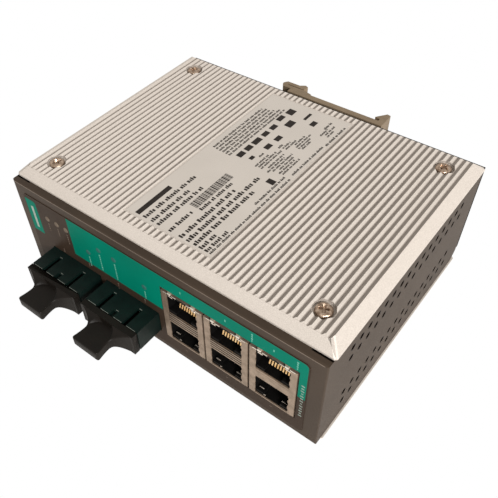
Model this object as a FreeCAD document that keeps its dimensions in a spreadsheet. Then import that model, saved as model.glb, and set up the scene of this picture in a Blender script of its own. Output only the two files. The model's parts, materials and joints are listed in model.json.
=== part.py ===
import FreeCAD, Part
import math
import os
import re
import Sketcher

# Industrial ethernet switch for a 35 mm DIN rail, six copper ports and two fibre ports.
# Frame: the switch lies on its plain side cover. +Z points out of the ribbed side cover,
# -Y out of the port face and +X out of the vented end, which hangs downwards on a rail.
# The origin is the middle of the resting face.

os.makedirs("parts", exist_ok=True)

Vector = FreeCAD.Vector
doc = FreeCAD.newDocument("din_rail_ethernet_switch")
sheet = doc.addObject("Spreadsheet::Sheet", "Dims")

# Driving sizes in millimetres: alias, value, what it is.
SIZES = [
    # case
    ("case_length", 135.0, "length of the side covers along X"),
    ("case_depth", 105.0, "port face to rear panel"),
    ("case_height", 53.6, "resting face to rib tops"),
    ("steel_sheet", 1.2, "thickness of the folded steel"),
    ("end_setback", 0.5, "steel ends inside the side covers"),
    ("flange_width", 15.0, "return flange round the open sides"),
    ("fold_radius", 0.6, "outer radius of the folded edges"),
    ("corner_cut_run", 4.0, "rear lower corner cut, along the depth"),
    ("corner_cut_rise", 5.0, "rear lower corner cut, up the end"),
    # side covers
    ("cover_edge", 0.7, "straight edge of a side cover"),
    ("cover_bevel", 3.6, "bevel of a side cover"),
    ("cover_corner", 0.8, "corner break of a side cover"),
    ("cover_front_setback", 2.8, "cover edge behind the port face"),
    ("cover_rear_setback", 1.4, "cover edge before the rear panel"),
    ("cover_rear_slope", 4.8, "rear bevel of the ribbed cover, along the depth"),
    ("cover_rim", 15.6, "thick rim of a side cover"),
    ("cover_wall", 2.4, "wall of a side cover inside its rim"),
    ("rib_count", 55, "grooves across the cover"),
    ("rib_pitch", 2.307, "rib to rib"),
    ("rib_depth", 0.78, "depth of the rib valleys"),
    ("rib_land", 0.1, "flat on each rib top"),
    ("field_length", 37.4, "plain field between the ribs along X"),
    ("field_width", 86.4, "plain field between the ribs along Y"),
    ("field_depth", 0.42, "plain field below the rib tops"),
    ("label_margin", 0.8, "label edge to field edge"),
    ("label_film", 0.12, "thickness of the information label"),
    ("cover_screw_x", 10.9, "cover screws from the ends of the covers"),
    ("cover_screw_y", 13.5, "cover screws from the port face and the rear"),
    ("screw_pocket_radius", 3.7, "round pocket for a screw head"),
    ("screw_pocket_depth", 1.9, "pocket below the rib tops"),
    # machine screws
    ("screw_head_radius", 2.85, "pan head"),
    ("screw_head_height", 1.7, "pan head"),
    ("screw_shank_radius", 1.5, "shank"),
    ("screw_length", 6.0, "shank below the head"),
    ("screw_hole_clearance", 0.15, "hole radius over the shank"),
    # vents
    ("vent_radius", 1.0, "vent hole"),
    ("vent_pitch", 5.0, "vent holes along the depth"),
    ("vent_count", 16, "vent holes in a row"),
    ("vent_row_gap", 5.3, "rows of a pair"),
    ("vent_group_gap", 24.3, "middle of the upper pair to middle of the lower pair"),
    # port face
    ("overlay_film", 0.25, "thickness of the front film label"),
    ("overlay_left", 62.6, "label edge left of the middle"),
    ("overlay_right", 61.6, "label edge right of the middle"),
    ("overlay_bottom", 7.2, "label lower edge"),
    ("overlay_top", 45.1, "label upper edge"),
    ("overlay_corner", 1.0, "label corner cut"),
    ("window_clearance", 0.4, "cut-outs round jacks and modules"),
    ("light_guide_radius", 1.15, "lens of a light guide"),
    # stacked jacks
    ("jack_count", 3, "stacked jacks"),
    ("jack_first_x", 13.5, "middle of the first jack"),
    ("jack_pitch", 18.0, "jack to jack"),
    ("jack_width", 17.3, "shield width"),
    ("jack_lift", 1.3, "shield above the board"),
    ("jack_height", 24.9, "shield height"),
    ("jack_depth", 25.0, "shield depth"),
    ("jack_proud", 0.45, "shield face before the port face"),
    ("shield_sheet", 0.3, "plated shield sheet"),
    ("port_width", 12.7, "port opening"),
    ("port_height", 9.5, "port opening"),
    ("port_depth", 14.0, "port cavity"),
    ("lower_port_rise", 0.6, "shield foot to lower port"),
    ("upper_port_rise", 14.7, "shield foot to upper port"),
    ("insert_clearance", 0.1, "insert inside its shield"),
    ("finger_width", 1.7, "earthing finger on the shield top"),
    ("finger_height", 1.0, "earthing finger above the shield"),
    ("finger_spread", 4.95, "earthing finger from the jack middle"),
    ("contact_pitch", 1.02, "contact to contact"),
    ("contact_width", 0.46, "contact wire across"),
    ("contact_gauge", 0.3, "contact wire thickness"),
    ("contact_setback", 2.0, "contact bend behind the port face"),
    ("contact_drop", 3.6, "contact bend below the port ceiling"),
    # fibre modules and dust plugs
    ("module_first_x", -40.1, "middle of the first module"),
    ("module_pitch", 28.9, "module to module"),
    ("module_width", 25.4, "module across"),
    ("module_height", 9.5, "module height"),
    ("module_rise", 1.1, "module feet"),
    ("module_length", 39.0, "module length"),
    ("module_proud", 10.9, "receptacle before the port face"),
    ("module_wall", 1.2, "receptacle wall"),
    ("fibre_pitch", 12.7, "bore to bore of a duplex pair"),
    ("bore_depth", 11.5, "receptacle cavity"),
    ("key_width", 1.9, "key slot width"),
    ("key_length", 7.8, "key slot length"),
    ("latch_slot_length", 2.3, "short slot between the key slots"),
    ("sleeve_radius", 2.2, "alignment sleeve outside"),
    ("sleeve_bore", 1.25, "alignment sleeve bore"),
    ("sleeve_length", 8.6, "alignment sleeve length"),
    ("plug_clearance", 0.3, "dust plug to receptacle"),
    ("plug_flange", 2.4, "dust plug flange thickness"),
    ("plug_grip_length", 10.9, "dust plug grip"),
    ("plug_bar_width", 12.8, "bar at the end of the grip"),
    ("plug_bar_height", 4.2, "bar at the end of the grip"),
    ("plug_bar_length", 2.2, "bar at the end of the grip"),
    ("plug_waist", 10.2, "narrowest width of the grip"),
    ("plug_margin", 0.9, "flat round the grip on the flange"),
    ("plug_spigot", 8.0, "spigots of the dust plug"),
    # main board
    ("board_top", 12.0, "component side of the board above the resting face"),
    ("board_thickness", 1.6, "board"),
    ("board_gap", 0.5, "board edge to the steel"),
    ("board_rear", 45.0, "rear edge of the board"),
    ("standoff_radius", 2.8, "board standoff"),
    ("standoff_front_x", 60.0, "front board standoffs from the middle"),
    ("standoff_front_y", 24.0, "front board standoffs before the middle"),
    ("standoff_rear_x", 46.0, "rear board standoffs from the middle"),
    ("standoff_rear_y", 41.5, "rear board standoffs behind the middle"),
    ("rear_lip", 15.0, "lip of the rear panel under the board"),
    # power end
    ("terminal_ways", 6, "ways of the terminal block"),
    ("terminal_pitch", 5.08, "way to way"),
    ("terminal_y", 29.0, "middle of the terminal block"),
    ("terminal_height", 10.0, "header height"),
    ("terminal_depth", 12.0, "header depth"),
    ("terminal_plug_depth", 14.5, "terminal plug along its travel"),
    ("terminal_engage", 8.4, "terminal plug inside the header"),
    ("terminal_clearance", 0.3, "terminal plug to header"),
    ("terminal_wall", 1.0, "header wall"),
    ("clamp_screw_radius", 1.6, "clamp screws of the terminal plug"),
    ("dip_y", 6.5, "middle of the option switch"),
    ("dip_ways", 4, "ways of the option switch"),
    ("dip_pitch", 2.54, "way to way"),
    ("dip_height", 6.6, "option switch body height"),
    ("dip_depth", 9.5, "option switch body depth"),
    ("dip_slot", 3.4, "lever slot height"),
    ("dip_slot_width", 1.5, "lever slot width"),
    ("dip_lever", 1.5, "lever height"),
    ("dip_clearance", 0.25, "lever to slot"),
    ("dip_travel", 1.4, "lever travel"),
    ("console_y", -12.0, "middle of the console jack"),
    ("console_width", 16.0, "console jack shield"),
    ("console_height", 13.4, "console jack shield"),
    ("console_depth", 19.0, "console jack shield"),
    ("console_port_rise", 1.8, "console port above the board"),
    ("earth_screw_y", 44.0, "earth screw on the power end"),
    ("earth_screw_z", 38.0, "earth screw on the power end"),
    # rail clip
    ("rail_width", 35.0, "DIN rail"),
    ("rail_centre", 5.3, "rail middle along X"),
    ("rail_lip", 1.3, "gap for the rail edge under the hooks"),
    ("clip_sheet", 2.6, "clip plate"),
    ("clip_width", 46.4, "clip plate along Z"),
    ("clip_left", 17.5, "clip plate beyond the middle, spring side"),
    ("hook_width", 12.0, "fixed hook along Z"),
    ("hook_reach", 5.8, "fixed hook above the clip plate"),
    ("hook_lean", 1.1, "lean of the fixed hook"),
    ("hook_bite", 2.2, "hook over the rail edge"),
    ("spring_sheet", 1.7, "clip spring strip"),
    ("spring_width", 46, "clip spring along Z"),
    ("spring_fold_x", 22.6, "folded end of the spring"),
    ("spring_gap", 0.5, "gap inside the fold"),
    ("spring_post", 1.4, "upturned end of the spring"),
]

for row, (alias, value, note) in enumerate(SIZES, start=1):
    sheet.set("A%d" % row, note)
    sheet.set("B%d" % row, "%g" % value)
    sheet.setAlias("B%d" % row, alias)
doc.recompute()

ALIASES = {alias for alias, value, note in SIZES}
TOP = "(case_height - cover_bevel - cover_edge)"
BOTTOM = "(cover_bevel + cover_edge)"
FRONT = "(-case_depth / 2)"
REAR = "(case_depth / 2)"
END = "(case_length / 2 - end_setback)"
SCREW_HOLE = "screw_shank_radius + screw_hole_clearance"
nodes = []


def bound(text):
    """Turn the size names in an expression into cells of the sheet."""
    def cell(match):
        word = match.group()
        return "Dims." + word if word in ALIASES else word
    return re.sub(r"[a-z_]+[a-z_0-9]*", cell, text)


def size(text):
    """Present value of an expression."""
    return float(sheet.evalExpression(bound(text)))


def body(label, x="0", y="0", z="0"):
    """A new body, placed by expressions."""
    made = doc.addObject("PartDesign::Body", label)
    for axis, text in zip("xyz", (x, y, z)):
        made.setExpression("Placement.Base." + axis, bound(text))
    return made


def sketch(owner, role, offset="0"):
    """A sketch on an origin plane of its own body, moved along the plane's normal."""
    made = owner.newObject("Sketcher::SketchObject", owner.Name + "_sketch")
    plane = [item for item in owner.Origin.OriginFeatures if item.Role == role][0]
    made.AttachmentSupport = [(plane, "")]
    made.MapMode = "FlatFace"
    made.setExpression("AttachmentOffset.Base.z", bound(offset))
    return made


def outline(made, points):
    """A closed outline through points given as expressions, each dimensioned from the origin."""
    first = made.GeometryCount
    count = len(points)
    places = [Vector(size(x), size(y), 0) for x, y in points]
    lines = [Part.LineSegment(places[index], places[(index + 1) % count])
             for index in range(count)]
    rules = [Sketcher.Constraint("Coincident", first + index, 2, first + (index + 1) % count, 1)
             for index in range(count)]
    texts = []
    for index, (x, y) in enumerate(points):
        rules.append(Sketcher.Constraint("DistanceX", -1, 1, first + index, 1, places[index].x))
        rules.append(Sketcher.Constraint("DistanceY", -1, 1, first + index, 1, places[index].y))
        texts += [x, y]
    made.addGeometry(lines, False)
    start = made.ConstraintCount + count
    made.addConstraint(rules)
    for index, text in enumerate(texts):
        made.setExpression("Constraints[%d]" % (start + index), bound(text))


def rectangle(made, x0, y0, x1, y1):
    outline(made, [(x0, y0), (x1, y0), (x1, y1), (x0, y1)])


def centred(made, x, y, width, height):
    """A rectangle about its middle."""
    half_x = "(%s) / 2" % width
    half_y = "(%s) / 2" % height
    rectangle(made, "%s - %s" % (x, half_x), "%s - %s" % (y, half_y),
              "%s + %s" % (x, half_x), "%s + %s" % (y, half_y))


def circle(made, x, y, radius, sides=12):
    """A small round edge drawn with few flats, to keep the facets of repeats down."""
    points = []
    for index in range(sides):
        angle = math.radians(360 * (index + 0.5) / sides)
        points.append(("%s + (%s) * %.6f" % (x, radius, math.cos(angle)),
                       "%s + (%s) * %.6f" % (y, radius, math.sin(angle))))
    outline(made, points)


def pad(owner, made, length, reverse=False, middle=False):
    """Raise a sketch along its plane's normal."""
    feature = owner.newObject("PartDesign::Pad", owner.Name + "_pad")
    feature.Profile = made
    feature.setExpression("Length", bound(length))
    feature.Reversed = reverse
    feature.SideType = "Symmetric" if middle else "One side"
    made.Visibility = False
    doc.recompute()
    return feature


def pocket(owner, made, length, reverse=False, middle=False):
    """Cut a sketch into the body, against its plane's normal, and see that it cuts."""
    before = owner.Shape.Volume
    feature = owner.newObject("PartDesign::Pocket", owner.Name + "_pocket")
    feature.Profile = made
    feature.setExpression("Length", bound(length))
    feature.Reversed = reverse
    feature.SideType = "Symmetric" if middle else "One side"
    made.Visibility = False
    doc.recompute()
    if owner.Shape.Volume > before - 1e-6:
        raise RuntimeError("%s cuts nothing" % feature.Name)
    return feature


def bores(owner, role, offset, places, radius, length, sides=12, **way):
    """One round cut at each place, each from a sketch of its own."""
    for x, y in places:
        made = sketch(owner, role, offset)
        circle(made, x, y, radius, sides)
        pocket(owner, made, length, **way)


def edges_where(owner, test):
    """Names of the edges of a body's tip whose middle passes a test."""
    names = []
    for index, edge in enumerate(owner.Tip.Shape.Edges, start=1):
        middle = edge.BoundBox.Center
        if test(edge, middle):
            names.append("Edge%d" % index)
    return names


def dress(owner, kind, value, names):
    """Fillet or chamfer named edges of the tip."""
    base = owner.Tip
    feature = owner.newObject("PartDesign::" + kind, owner.Name + "_" + kind.lower())
    feature.Base = (base, names)
    feature.setExpression("Radius" if kind == "Fillet" else "Size", bound(value))
    doc.recompute()
    return feature


def pattern(owner, feature, axis, count, length):
    """Repeat a feature along an origin axis of its body."""
    made = owner.newObject("PartDesign::LinearPattern", owner.Name + "_pattern")
    made.Originals = [feature]
    line = [item for item in owner.Origin.OriginFeatures if item.Role == axis][0]
    made.Direction = (line, [""])
    made.setExpression("Occurrences", bound(count))
    made.setExpression("Length", bound(length))
    owner.Tip = made
    doc.recompute()
    return made


def box(label, x, y, z, length, width, height):
    """A plain block by its low corner."""
    made = doc.addObject("Part::Box", label)
    for name, text in (("Length", length), ("Width", width), ("Height", height)):
        made.setExpression(name, bound(text))
    for axis, text in zip("xyz", (x, y, z)):
        made.setExpression("Placement.Base." + axis, bound(text))
    return made


def bar(label, x, y, z, radius, height, axis="z", sides=12):
    """A round bar with few flats from a point along +X, -Y or +Z."""
    made = doc.addObject("Part::Prism", label)
    made.Polygon = sides
    turns = {"z": (Vector(0, 0, 1), 0), "x": (Vector(0, 1, 0), 90), "-y": (Vector(1, 0, 0), 90)}
    made.Placement.Rotation = FreeCAD.Rotation(*turns[axis])
    made.setExpression("Circumradius", bound(radius))
    made.setExpression("Height", bound(height))
    for side, text in zip("xyz", (x, y, z)):
        made.setExpression("Placement.Base." + side, bound(text))
    return made


def cut(label, base, tool):
    made = doc.addObject("Part::Cut", label)
    made.Base = base
    made.Tool = tool
    return made


def fuse(label, shapes):
    made = doc.addObject("Part::MultiFuse", label)
    made.Shapes = shapes
    return made


def together(label, members):
    """Separate solids kept as one group."""
    made = doc.addObject("Part::Compound", label)
    made.Links = members
    return made


def keep(label, made):
    """Name a finished sub-part."""
    made.Label = label
    nodes.append((label, made))
    return made


# ---------------------------------------------------------------- side covers

def side_cover(label, z, bevel_up):
    """Slab with a bevelled outer edge, rounded corners and a shallow hollow inside."""
    made = body(label, z=z)
    slab = sketch(made, "XY_Plane")
    rectangle(slab, "-case_length / 2", FRONT + " + cover_front_setback",
              "case_length / 2", REAR + " - cover_rear_setback")
    pad(made, slab, "cover_edge + cover_bevel")
    outer = size("cover_edge + cover_bevel") if bevel_up else 0
    dress(made, "Chamfer", "cover_bevel", edges_where(
        made, lambda edge, middle: abs(middle.z - outer) < 1e-6 and edge.BoundBox.ZLength < 1e-6))
    dress(made, "Chamfer", "cover_corner", edges_where(
        made, lambda edge, middle: edge.BoundBox.ZLength > 1e-6))
    hollow = sketch(made, "XY_Plane", "0" if bevel_up else "cover_edge + cover_bevel")
    rectangle(hollow, "cover_rim - case_length / 2", FRONT + " + cover_front_setback + cover_rim",
              "case_length / 2 - cover_rim", REAR + " - cover_rear_setback - cover_rim")
    pocket(made, hollow, "cover_edge + cover_bevel - cover_wall", reverse=bevel_up)
    return made


def screw_places():
    x = "(case_length / 2 - cover_screw_x)"
    y = "(case_depth / 2 - cover_screw_y)"
    return [(sx + x, sy + y) for sx in ("-", "") for sy in ("-", "")]


def heatsink_cover():
    """Ribbed cover with a plain field for the label, a little below the rib tops."""
    made = side_cover("heatsink_cover", TOP, True)
    crest = "(cover_edge + cover_bevel)"
    slope = sketch(made, "YZ_Plane")
    edge = "(" + REAR + " - cover_rear_setback)"
    outline(slope, [(edge, "cover_edge"), (edge, crest + " + 1"),
                    (edge + " - cover_rear_slope", crest + " + 1"),
                    (edge + " - cover_rear_slope", crest)])
    pocket(made, slope, "2 * case_length", middle=True)
    field = sketch(made, "XY_Plane", crest)
    centred(field, "0", "0", "field_length", "field_width")
    pocket(made, field, "field_depth")
    bores(made, "XY_Plane", crest, screw_places(), "screw_pocket_radius", "screw_pocket_depth")
    bores(made, "XY_Plane", crest, screw_places(), SCREW_HOLE, "2 * " + crest, 8)
    valley = sketch(made, "XZ_Plane")
    last = "(case_length / 2 - cover_bevel)"
    first = "(%s - rib_pitch * rib_count)" % last
    land = "rib_land / 2"
    outline(valley, [(first + " + " + land, crest),
                     (first + " + rib_pitch / 2", crest + " - rib_depth"),
                     (first + " + rib_pitch - " + land, crest),
                     (first + " + rib_pitch - " + land, crest + " + 0.5"),
                     (first + " + " + land, crest + " + 0.5")])
    groove = pocket(made, valley, "2 * case_depth", middle=True)
    pattern(made, groove, "X_Axis", "rib_count", "rib_pitch * (rib_count - 1)")
    filling = sketch(made, "XY_Plane", crest + " - rib_depth - 0.2")
    centred(filling, "0", "0", "field_length", "field_width")
    pad(made, filling, "rib_depth + 0.2 - field_depth")
    keep("heatsink_cover", made)


def plain_cover():
    made = side_cover("side_cover", "0", False)
    bores(made, "XY_Plane", "0", screw_places(), "screw_pocket_radius", "screw_pocket_depth",
          reverse=True)
    bores(made, "XY_Plane", "0", screw_places(), SCREW_HOLE, "2 * (cover_edge + cover_bevel)", 8,
          reverse=True)
    keep("side_cover", made)


def pan_screw(label, x, y, z, length="screw_length", turn=None):
    """Pan head screw; the seat of the head is its origin, head up."""
    made = body(label, x, y, z)
    if turn:
        made.Placement.Rotation = FreeCAD.Rotation(*turn)
    head = sketch(made, "XY_Plane")
    circle(head, "0", "0", "screw_head_radius", 8)
    pad(made, head, "screw_head_height")
    top = size("screw_head_height")
    dress(made, "Chamfer", "screw_head_height * 0.45", edges_where(
        made, lambda edge, middle: abs(middle.z - top) < 1e-6))
    shank = sketch(made, "XY_Plane")
    circle(shank, "0", "0", "screw_shank_radius", 8)
    pad(made, shank, length, reverse=True)
    return made


def cover_screws():
    seat = "case_height - screw_pocket_depth"
    made = [pan_screw("cover_screw", x, y, seat) for x, y in screw_places()]
    keep("cover_screws", together("cover_screws", made))
    over = (Vector(1, 0, 0), 180)
    made = [pan_screw("side_screw", x, y, "screw_pocket_depth", turn=over)
            for x, y in screw_places()]
    keep("side_cover_screws", together("side_cover_screws", made))


def information_label():
    made = body("information_label", z="case_height - field_depth")
    film = sketch(made, "XY_Plane")
    centred(film, "0", "0", "field_length - 2 * label_margin", "field_width - 2 * label_margin")
    pad(made, film, "label_film")
    keep("information_label", made)


# ---------------------------------------------------------------- steel housing

def vent_rows(made):
    """The first hole of each of the four rows of vents."""
    middle = "(case_height / 2 + 0.9)"
    row = "vent_row_gap / 2"
    first = "(0 - vent_pitch * (vent_count - 1) / 2 - 0.6)"
    for sign in (" + ", " - "):
        group = middle + sign + "vent_group_gap / 2"
        for side in (" + ", " - "):
            circle(made, first, group + side + row, "vent_radius", 6)


def light_guide_places():
    upper = "(overlay_top - 7.2)"
    lower = "(overlay_top - 12)"
    return [("-51.4", upper), ("-46.4", upper), ("-41.4", upper), ("-24.6", upper),
            ("-17.1", upper), ("-30.9", lower), ("-3.5", lower)]


def face_windows(made, extra):
    """Cut-outs of the port face: one for the jacks, one for each fibre module."""
    grown = "window_clearance + " + extra
    rectangle(made, "jack_first_x - jack_width / 2 - (%s)" % grown,
              "board_top + jack_lift - (%s)" % grown,
              "jack_first_x + jack_pitch * (jack_count - 1) + jack_width / 2 + (%s)" % grown,
              "board_top + jack_lift + jack_height + finger_height + (%s)" % extra)
    for index in range(2):
        x = "(module_first_x + module_pitch * %d)" % index
        foot = "(board_top + module_rise)"
        rectangle(made, x + " - module_width / 2 - (%s)" % grown, foot + " - (%s)" % grown,
                  x + " + module_width / 2 + (%s)" % grown,
                  foot + " + module_height + (%s)" % grown)


def housing_frame():
    """Port face and both ends folded from one sheet, with return flanges."""
    made = body("housing_frame")
    block = sketch(made, "XY_Plane", BOTTOM)
    rectangle(block, "-" + END, FRONT, END, REAR + " - steel_sheet")
    pad(made, block, TOP + " - " + BOTTOM)
    dress(made, "Fillet", "fold_radius", edges_where(
        made, lambda edge, middle: middle.y < size(FRONT) + 1e-6
        or (edge.BoundBox.ZLength > 1 and middle.y < 0)))
    inside = sketch(made, "XY_Plane", "case_height / 2")
    wall = "steel_sheet"
    rectangle(inside, wall + " - " + END, FRONT + " + " + wall, END + " - " + wall,
              REAR + " + " + wall)
    pocket(made, inside, TOP + " - " + BOTTOM + " - 2 * " + wall, middle=True)
    mouth = sketch(made, "XY_Plane", "case_height / 2")
    rectangle(mouth, "flange_width - " + END, FRONT + " + flange_width",
              END + " - flange_width", REAR + " + steel_sheet")
    pocket(made, mouth, "2 * case_height", middle=True)
    face = sketch(made, "XZ_Plane", "case_depth / 2")
    face_windows(face, "0")
    pocket(made, face, "2 * steel_sheet")
    bores(made, "XZ_Plane", "case_depth / 2", light_guide_places(), "light_guide_radius + 0.1",
          "2 * steel_sheet", 8)
    doors = sketch(made, "YZ_Plane", "0 - " + END)
    gap = "window_clearance"
    long_side = "(terminal_ways * terminal_pitch + 2 * terminal_wall + 2 * %s)" % gap
    rectangle(doors, "terminal_y - %s / 2" % long_side, "board_top - " + gap,
              "terminal_y + %s / 2" % long_side, "board_top + terminal_height + " + gap)
    dip_side = "((dip_ways + 0.5) * dip_pitch + 2 * %s)" % gap
    rectangle(doors, "dip_y - %s / 2" % dip_side, "board_top - " + gap,
              "dip_y + %s / 2" % dip_side, "board_top + dip_height + " + gap)
    rectangle(doors, "console_y - console_width / 2 - " + gap, "board_top - " + gap,
              "console_y + console_width / 2 + " + gap, "board_top + console_height + " + gap)
    pocket(made, doors, "2 * steel_sheet", reverse=True)
    bores(made, "YZ_Plane", "0 - " + END, [("earth_screw_y", "earth_screw_z")], SCREW_HOLE,
          "2 * steel_sheet", 8, reverse=True)
    corner = sketch(made, "YZ_Plane")
    outline(corner, [(REAR + " - corner_cut_run", BOTTOM), (REAR, BOTTOM),
                     (REAR, BOTTOM + " + corner_cut_rise")])
    pocket(made, corner, "2 * case_length", middle=True)
    bores(made, "XY_Plane", "case_height / 2", screw_places(), SCREW_HOLE, "2 * case_height", 8,
          middle=True)
    vents = sketch(made, "YZ_Plane", END)
    vent_rows(vents)
    row = pocket(made, vents, "2 * steel_sheet")
    pattern(made, row, "Y_Axis", "vent_count", "vent_pitch * (vent_count - 1)")
    keep("housing_frame", made)


def rear_panel():
    made = body("rear_panel")
    sheet_face = sketch(made, "XZ_Plane", "0 - case_depth / 2")
    low = BOTTOM
    notch = "(" + BOTTOM + " + corner_cut_rise)"
    inset = "(" + END + " - steel_sheet)"
    outline(sheet_face, [("-" + inset, low), (inset, low), (inset, notch), (END, notch),
                         (END, TOP), ("-" + END, TOP), ("-" + END, notch), ("-" + inset, notch)])
    pad(made, sheet_face, "steel_sheet")
    tabs = sketch(made, "XZ_Plane", "steel_sheet - case_depth / 2")
    skin = "(" + END + " - steel_sheet - 0.15)"
    foot = "(" + BOTTOM + " + steel_sheet + corner_cut_rise)"
    head = "(" + TOP + " - steel_sheet - 0.5)"
    rectangle(tabs, "-" + skin, foot, "steel_sheet - " + skin, head)
    rectangle(tabs, skin + " - steel_sheet", foot, skin, head)
    pad(made, tabs, "4 * steel_sheet")
    lip = sketch(made, "XZ_Plane", "steel_sheet - case_depth / 2")
    half = "(standoff_rear_x + standoff_radius + 1)"
    rectangle(lip, "0 - " + half, low, half, low + " + steel_sheet")
    pad(made, lip, "rear_lip")
    bores(made, "XZ_Plane", "0 - case_depth / 2", clip_screw_places(), SCREW_HOLE,
          "2 * steel_sheet", 8, reverse=True)
    keep("rear_panel", made)


def front_overlay():
    made = body("front_overlay")
    film = sketch(made, "XZ_Plane", "case_depth / 2")
    rectangle(film, "0 - overlay_left", "overlay_bottom", "overlay_right", "overlay_top")
    pad(made, film, "overlay_film")
    dress(made, "Chamfer", "overlay_corner", edges_where(
        made, lambda edge, middle: edge.BoundBox.YLength > 0.01))
    face = sketch(made, "XZ_Plane", "case_depth / 2 + overlay_film")
    face_windows(face, "0")
    pocket(made, face, "2 * overlay_film")
    bores(made, "XZ_Plane", "case_depth / 2 + overlay_film", light_guide_places(),
          "light_guide_radius + 0.1", "2 * overlay_film", 8)
    keep("front_overlay", made)


def light_guides():
    made = [bar("light_guide", x, FRONT + " + 6", z, "light_guide_radius", "6 + overlay_film",
                "-y", 8) for x, z in light_guide_places()]
    keep("light_guides", together("light_guides", made))


# ---------------------------------------------------------------- RJ45 jacks

def port_rises():
    return ("lower_port_rise", "upper_port_rise")


def jack_shield(index):
    """Plated shield: closed front with two ports, open at the back and the foot."""
    x = "jack_first_x + jack_pitch * %d" % index
    made = body("jack_%d_shield" % (index + 1), x, FRONT + " - jack_proud",
                "board_top + jack_lift")
    block = sketch(made, "XY_Plane")
    rectangle(block, "-jack_width / 2", "0", "jack_width / 2", "jack_depth")
    pad(made, block, "jack_height")
    inside = sketch(made, "XY_Plane")
    wall = "shield_sheet"
    rectangle(inside, wall + " - jack_width / 2", wall, "jack_width / 2 - " + wall,
              "jack_depth + 1")
    pocket(made, inside, "jack_height - " + wall, reverse=True)
    ports = sketch(made, "XZ_Plane")
    for rise in port_rises():
        rectangle(ports, "-port_width / 2", rise, "port_width / 2", rise + " + port_height")
    pocket(made, ports, "2 * " + wall)
    fingers = sketch(made, "XY_Plane", "jack_height")
    for side in ("0 - ", ""):
        centred(fingers, side + "finger_spread", "0.7", "finger_width", "1.0")
    pad(made, fingers, "finger_height")
    keep(made.Name, made)


def jack_insert(label, x, y, z, width, height, depth, rises, lift=""):
    """Moulded insert with its port cavities and latch grooves, on a foot if it is lifted."""
    made = body(label, x, y, z)
    block = sketch(made, "XY_Plane")
    rectangle(block, "0 - (%s) / 2" % width, "0", "(%s) / 2" % width, depth)
    pad(made, block, height)
    if lift:
        foot = sketch(made, "XY_Plane")
        rectangle(foot, "1 - (%s) / 2" % width, "3", "(%s) / 2 - 1" % width, depth + " - 3")
        pad(made, foot, lift, reverse=True)
    ports = sketch(made, "XZ_Plane")
    for rise in rises:
        outline(ports, [("-port_width / 2", rise + " + port_height"),
                        ("-port_width / 2", rise + " + 1.2"), ("-port_width / 4", rise + " + 1.2"),
                        ("-port_width / 4", rise), ("port_width / 4", rise),
                        ("port_width / 4", rise + " + 1.2"), ("port_width / 2", rise + " + 1.2"),
                        ("port_width / 2", rise + " + port_height")])
    pocket(made, ports, "port_depth")
    keep(label, made)


def contact_wires(label, x, y, z, rises):
    """Eight spring contacts a port: down from the ceiling, round a bend and back."""
    made = doc.addObject("Part::Feature", label)
    gauge = size("contact_gauge")
    front = size("contact_setback")
    back = size("port_depth") - 0.4
    drop = size("contact_drop")
    wires = []
    for rise in rises:
        ceiling = size(rise + " + port_height")
        loop = [Vector(0, front + 1.3, ceiling - 0.05), Vector(0, front, ceiling - drop),
                Vector(0, back, ceiling - drop * 0.6),
                Vector(0, back, ceiling - drop * 0.6 + gauge),
                Vector(0, front + gauge * 1.6, ceiling - drop + gauge * 1.2),
                Vector(0, front + 1.3 + gauge, ceiling - 0.05)]
        loop.append(loop[0])
        face = Part.Face(Part.makePolygon(loop))
        for number in range(8):
            place = (number - 3.5) * size("contact_pitch") - size("contact_width") / 2
            wire = face.extrude(Vector(size("contact_width"), 0, 0))
            wire.translate(Vector(place, 0, 0))
            wires.append(wire)
    made.Shape = Part.makeCompound(wires)
    for axis, text in zip("xyz", (x, y, z)):
        made.setExpression("Placement.Base." + axis, bound(text))
    keep(label, made)


def stacked_jacks():
    for index in range(int(size("jack_count"))):
        jack_shield(index)
        x = "jack_first_x + jack_pitch * %d" % index
        gap = "(shield_sheet + insert_clearance)"
        jack_insert("jack_%d_insert" % (index + 1), x, FRONT + " - jack_proud + " + gap,
                    "board_top + jack_lift", "jack_width - 2 * " + gap, "jack_height - " + gap,
                    "jack_depth - 1 - " + gap, port_rises(), "jack_lift")
        contact_wires("jack_%d_contacts" % (index + 1), x, FRONT + " - jack_proud + " + gap,
                      "board_top + jack_lift", port_rises())


# ---------------------------------------------------------------- fibre ports

def module_x(index):
    return "module_first_x + module_pitch * %d" % index


def fibre_places():
    return ("0 - fibre_pitch / 2", "fibre_pitch / 2")


def fibre_module(index):
    """Duplex SC transceiver: receptacle in front, module behind, key slots in the top."""
    made = body("fibre_module_%d" % (index + 1), module_x(index), FRONT + " - module_proud",
                "board_top + module_rise")
    block = sketch(made, "XY_Plane")
    rectangle(block, "-module_width / 2", "0", "module_width / 2", "module_length")
    pad(made, block, "module_height")
    cavities = sketch(made, "XZ_Plane")
    for x in fibre_places():
        centred(cavities, x, "module_height / 2", "fibre_pitch - 2 * module_wall",
                "module_height - 2 * module_wall")
    pocket(made, cavities, "bore_depth")
    keys = sketch(made, "XY_Plane", "module_height")
    for x in fibre_places():
        centred(keys, x, "key_length / 2 - 0.5", "key_width", "key_length + 1")
    centred(keys, "0", "latch_slot_length / 2 - 0.5", "key_width", "latch_slot_length + 1")
    pocket(made, keys, "module_wall")
    feet = sketch(made, "XY_Plane")
    for side in ("0 - ", ""):
        for row in ("module_proud + 6", "module_length - 4"):
            centred(feet, side + "(module_width / 2 - 3)", row, "3.2", "3.2")
    pad(made, feet, "module_rise", reverse=True)
    keep(made.Name, made)


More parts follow.
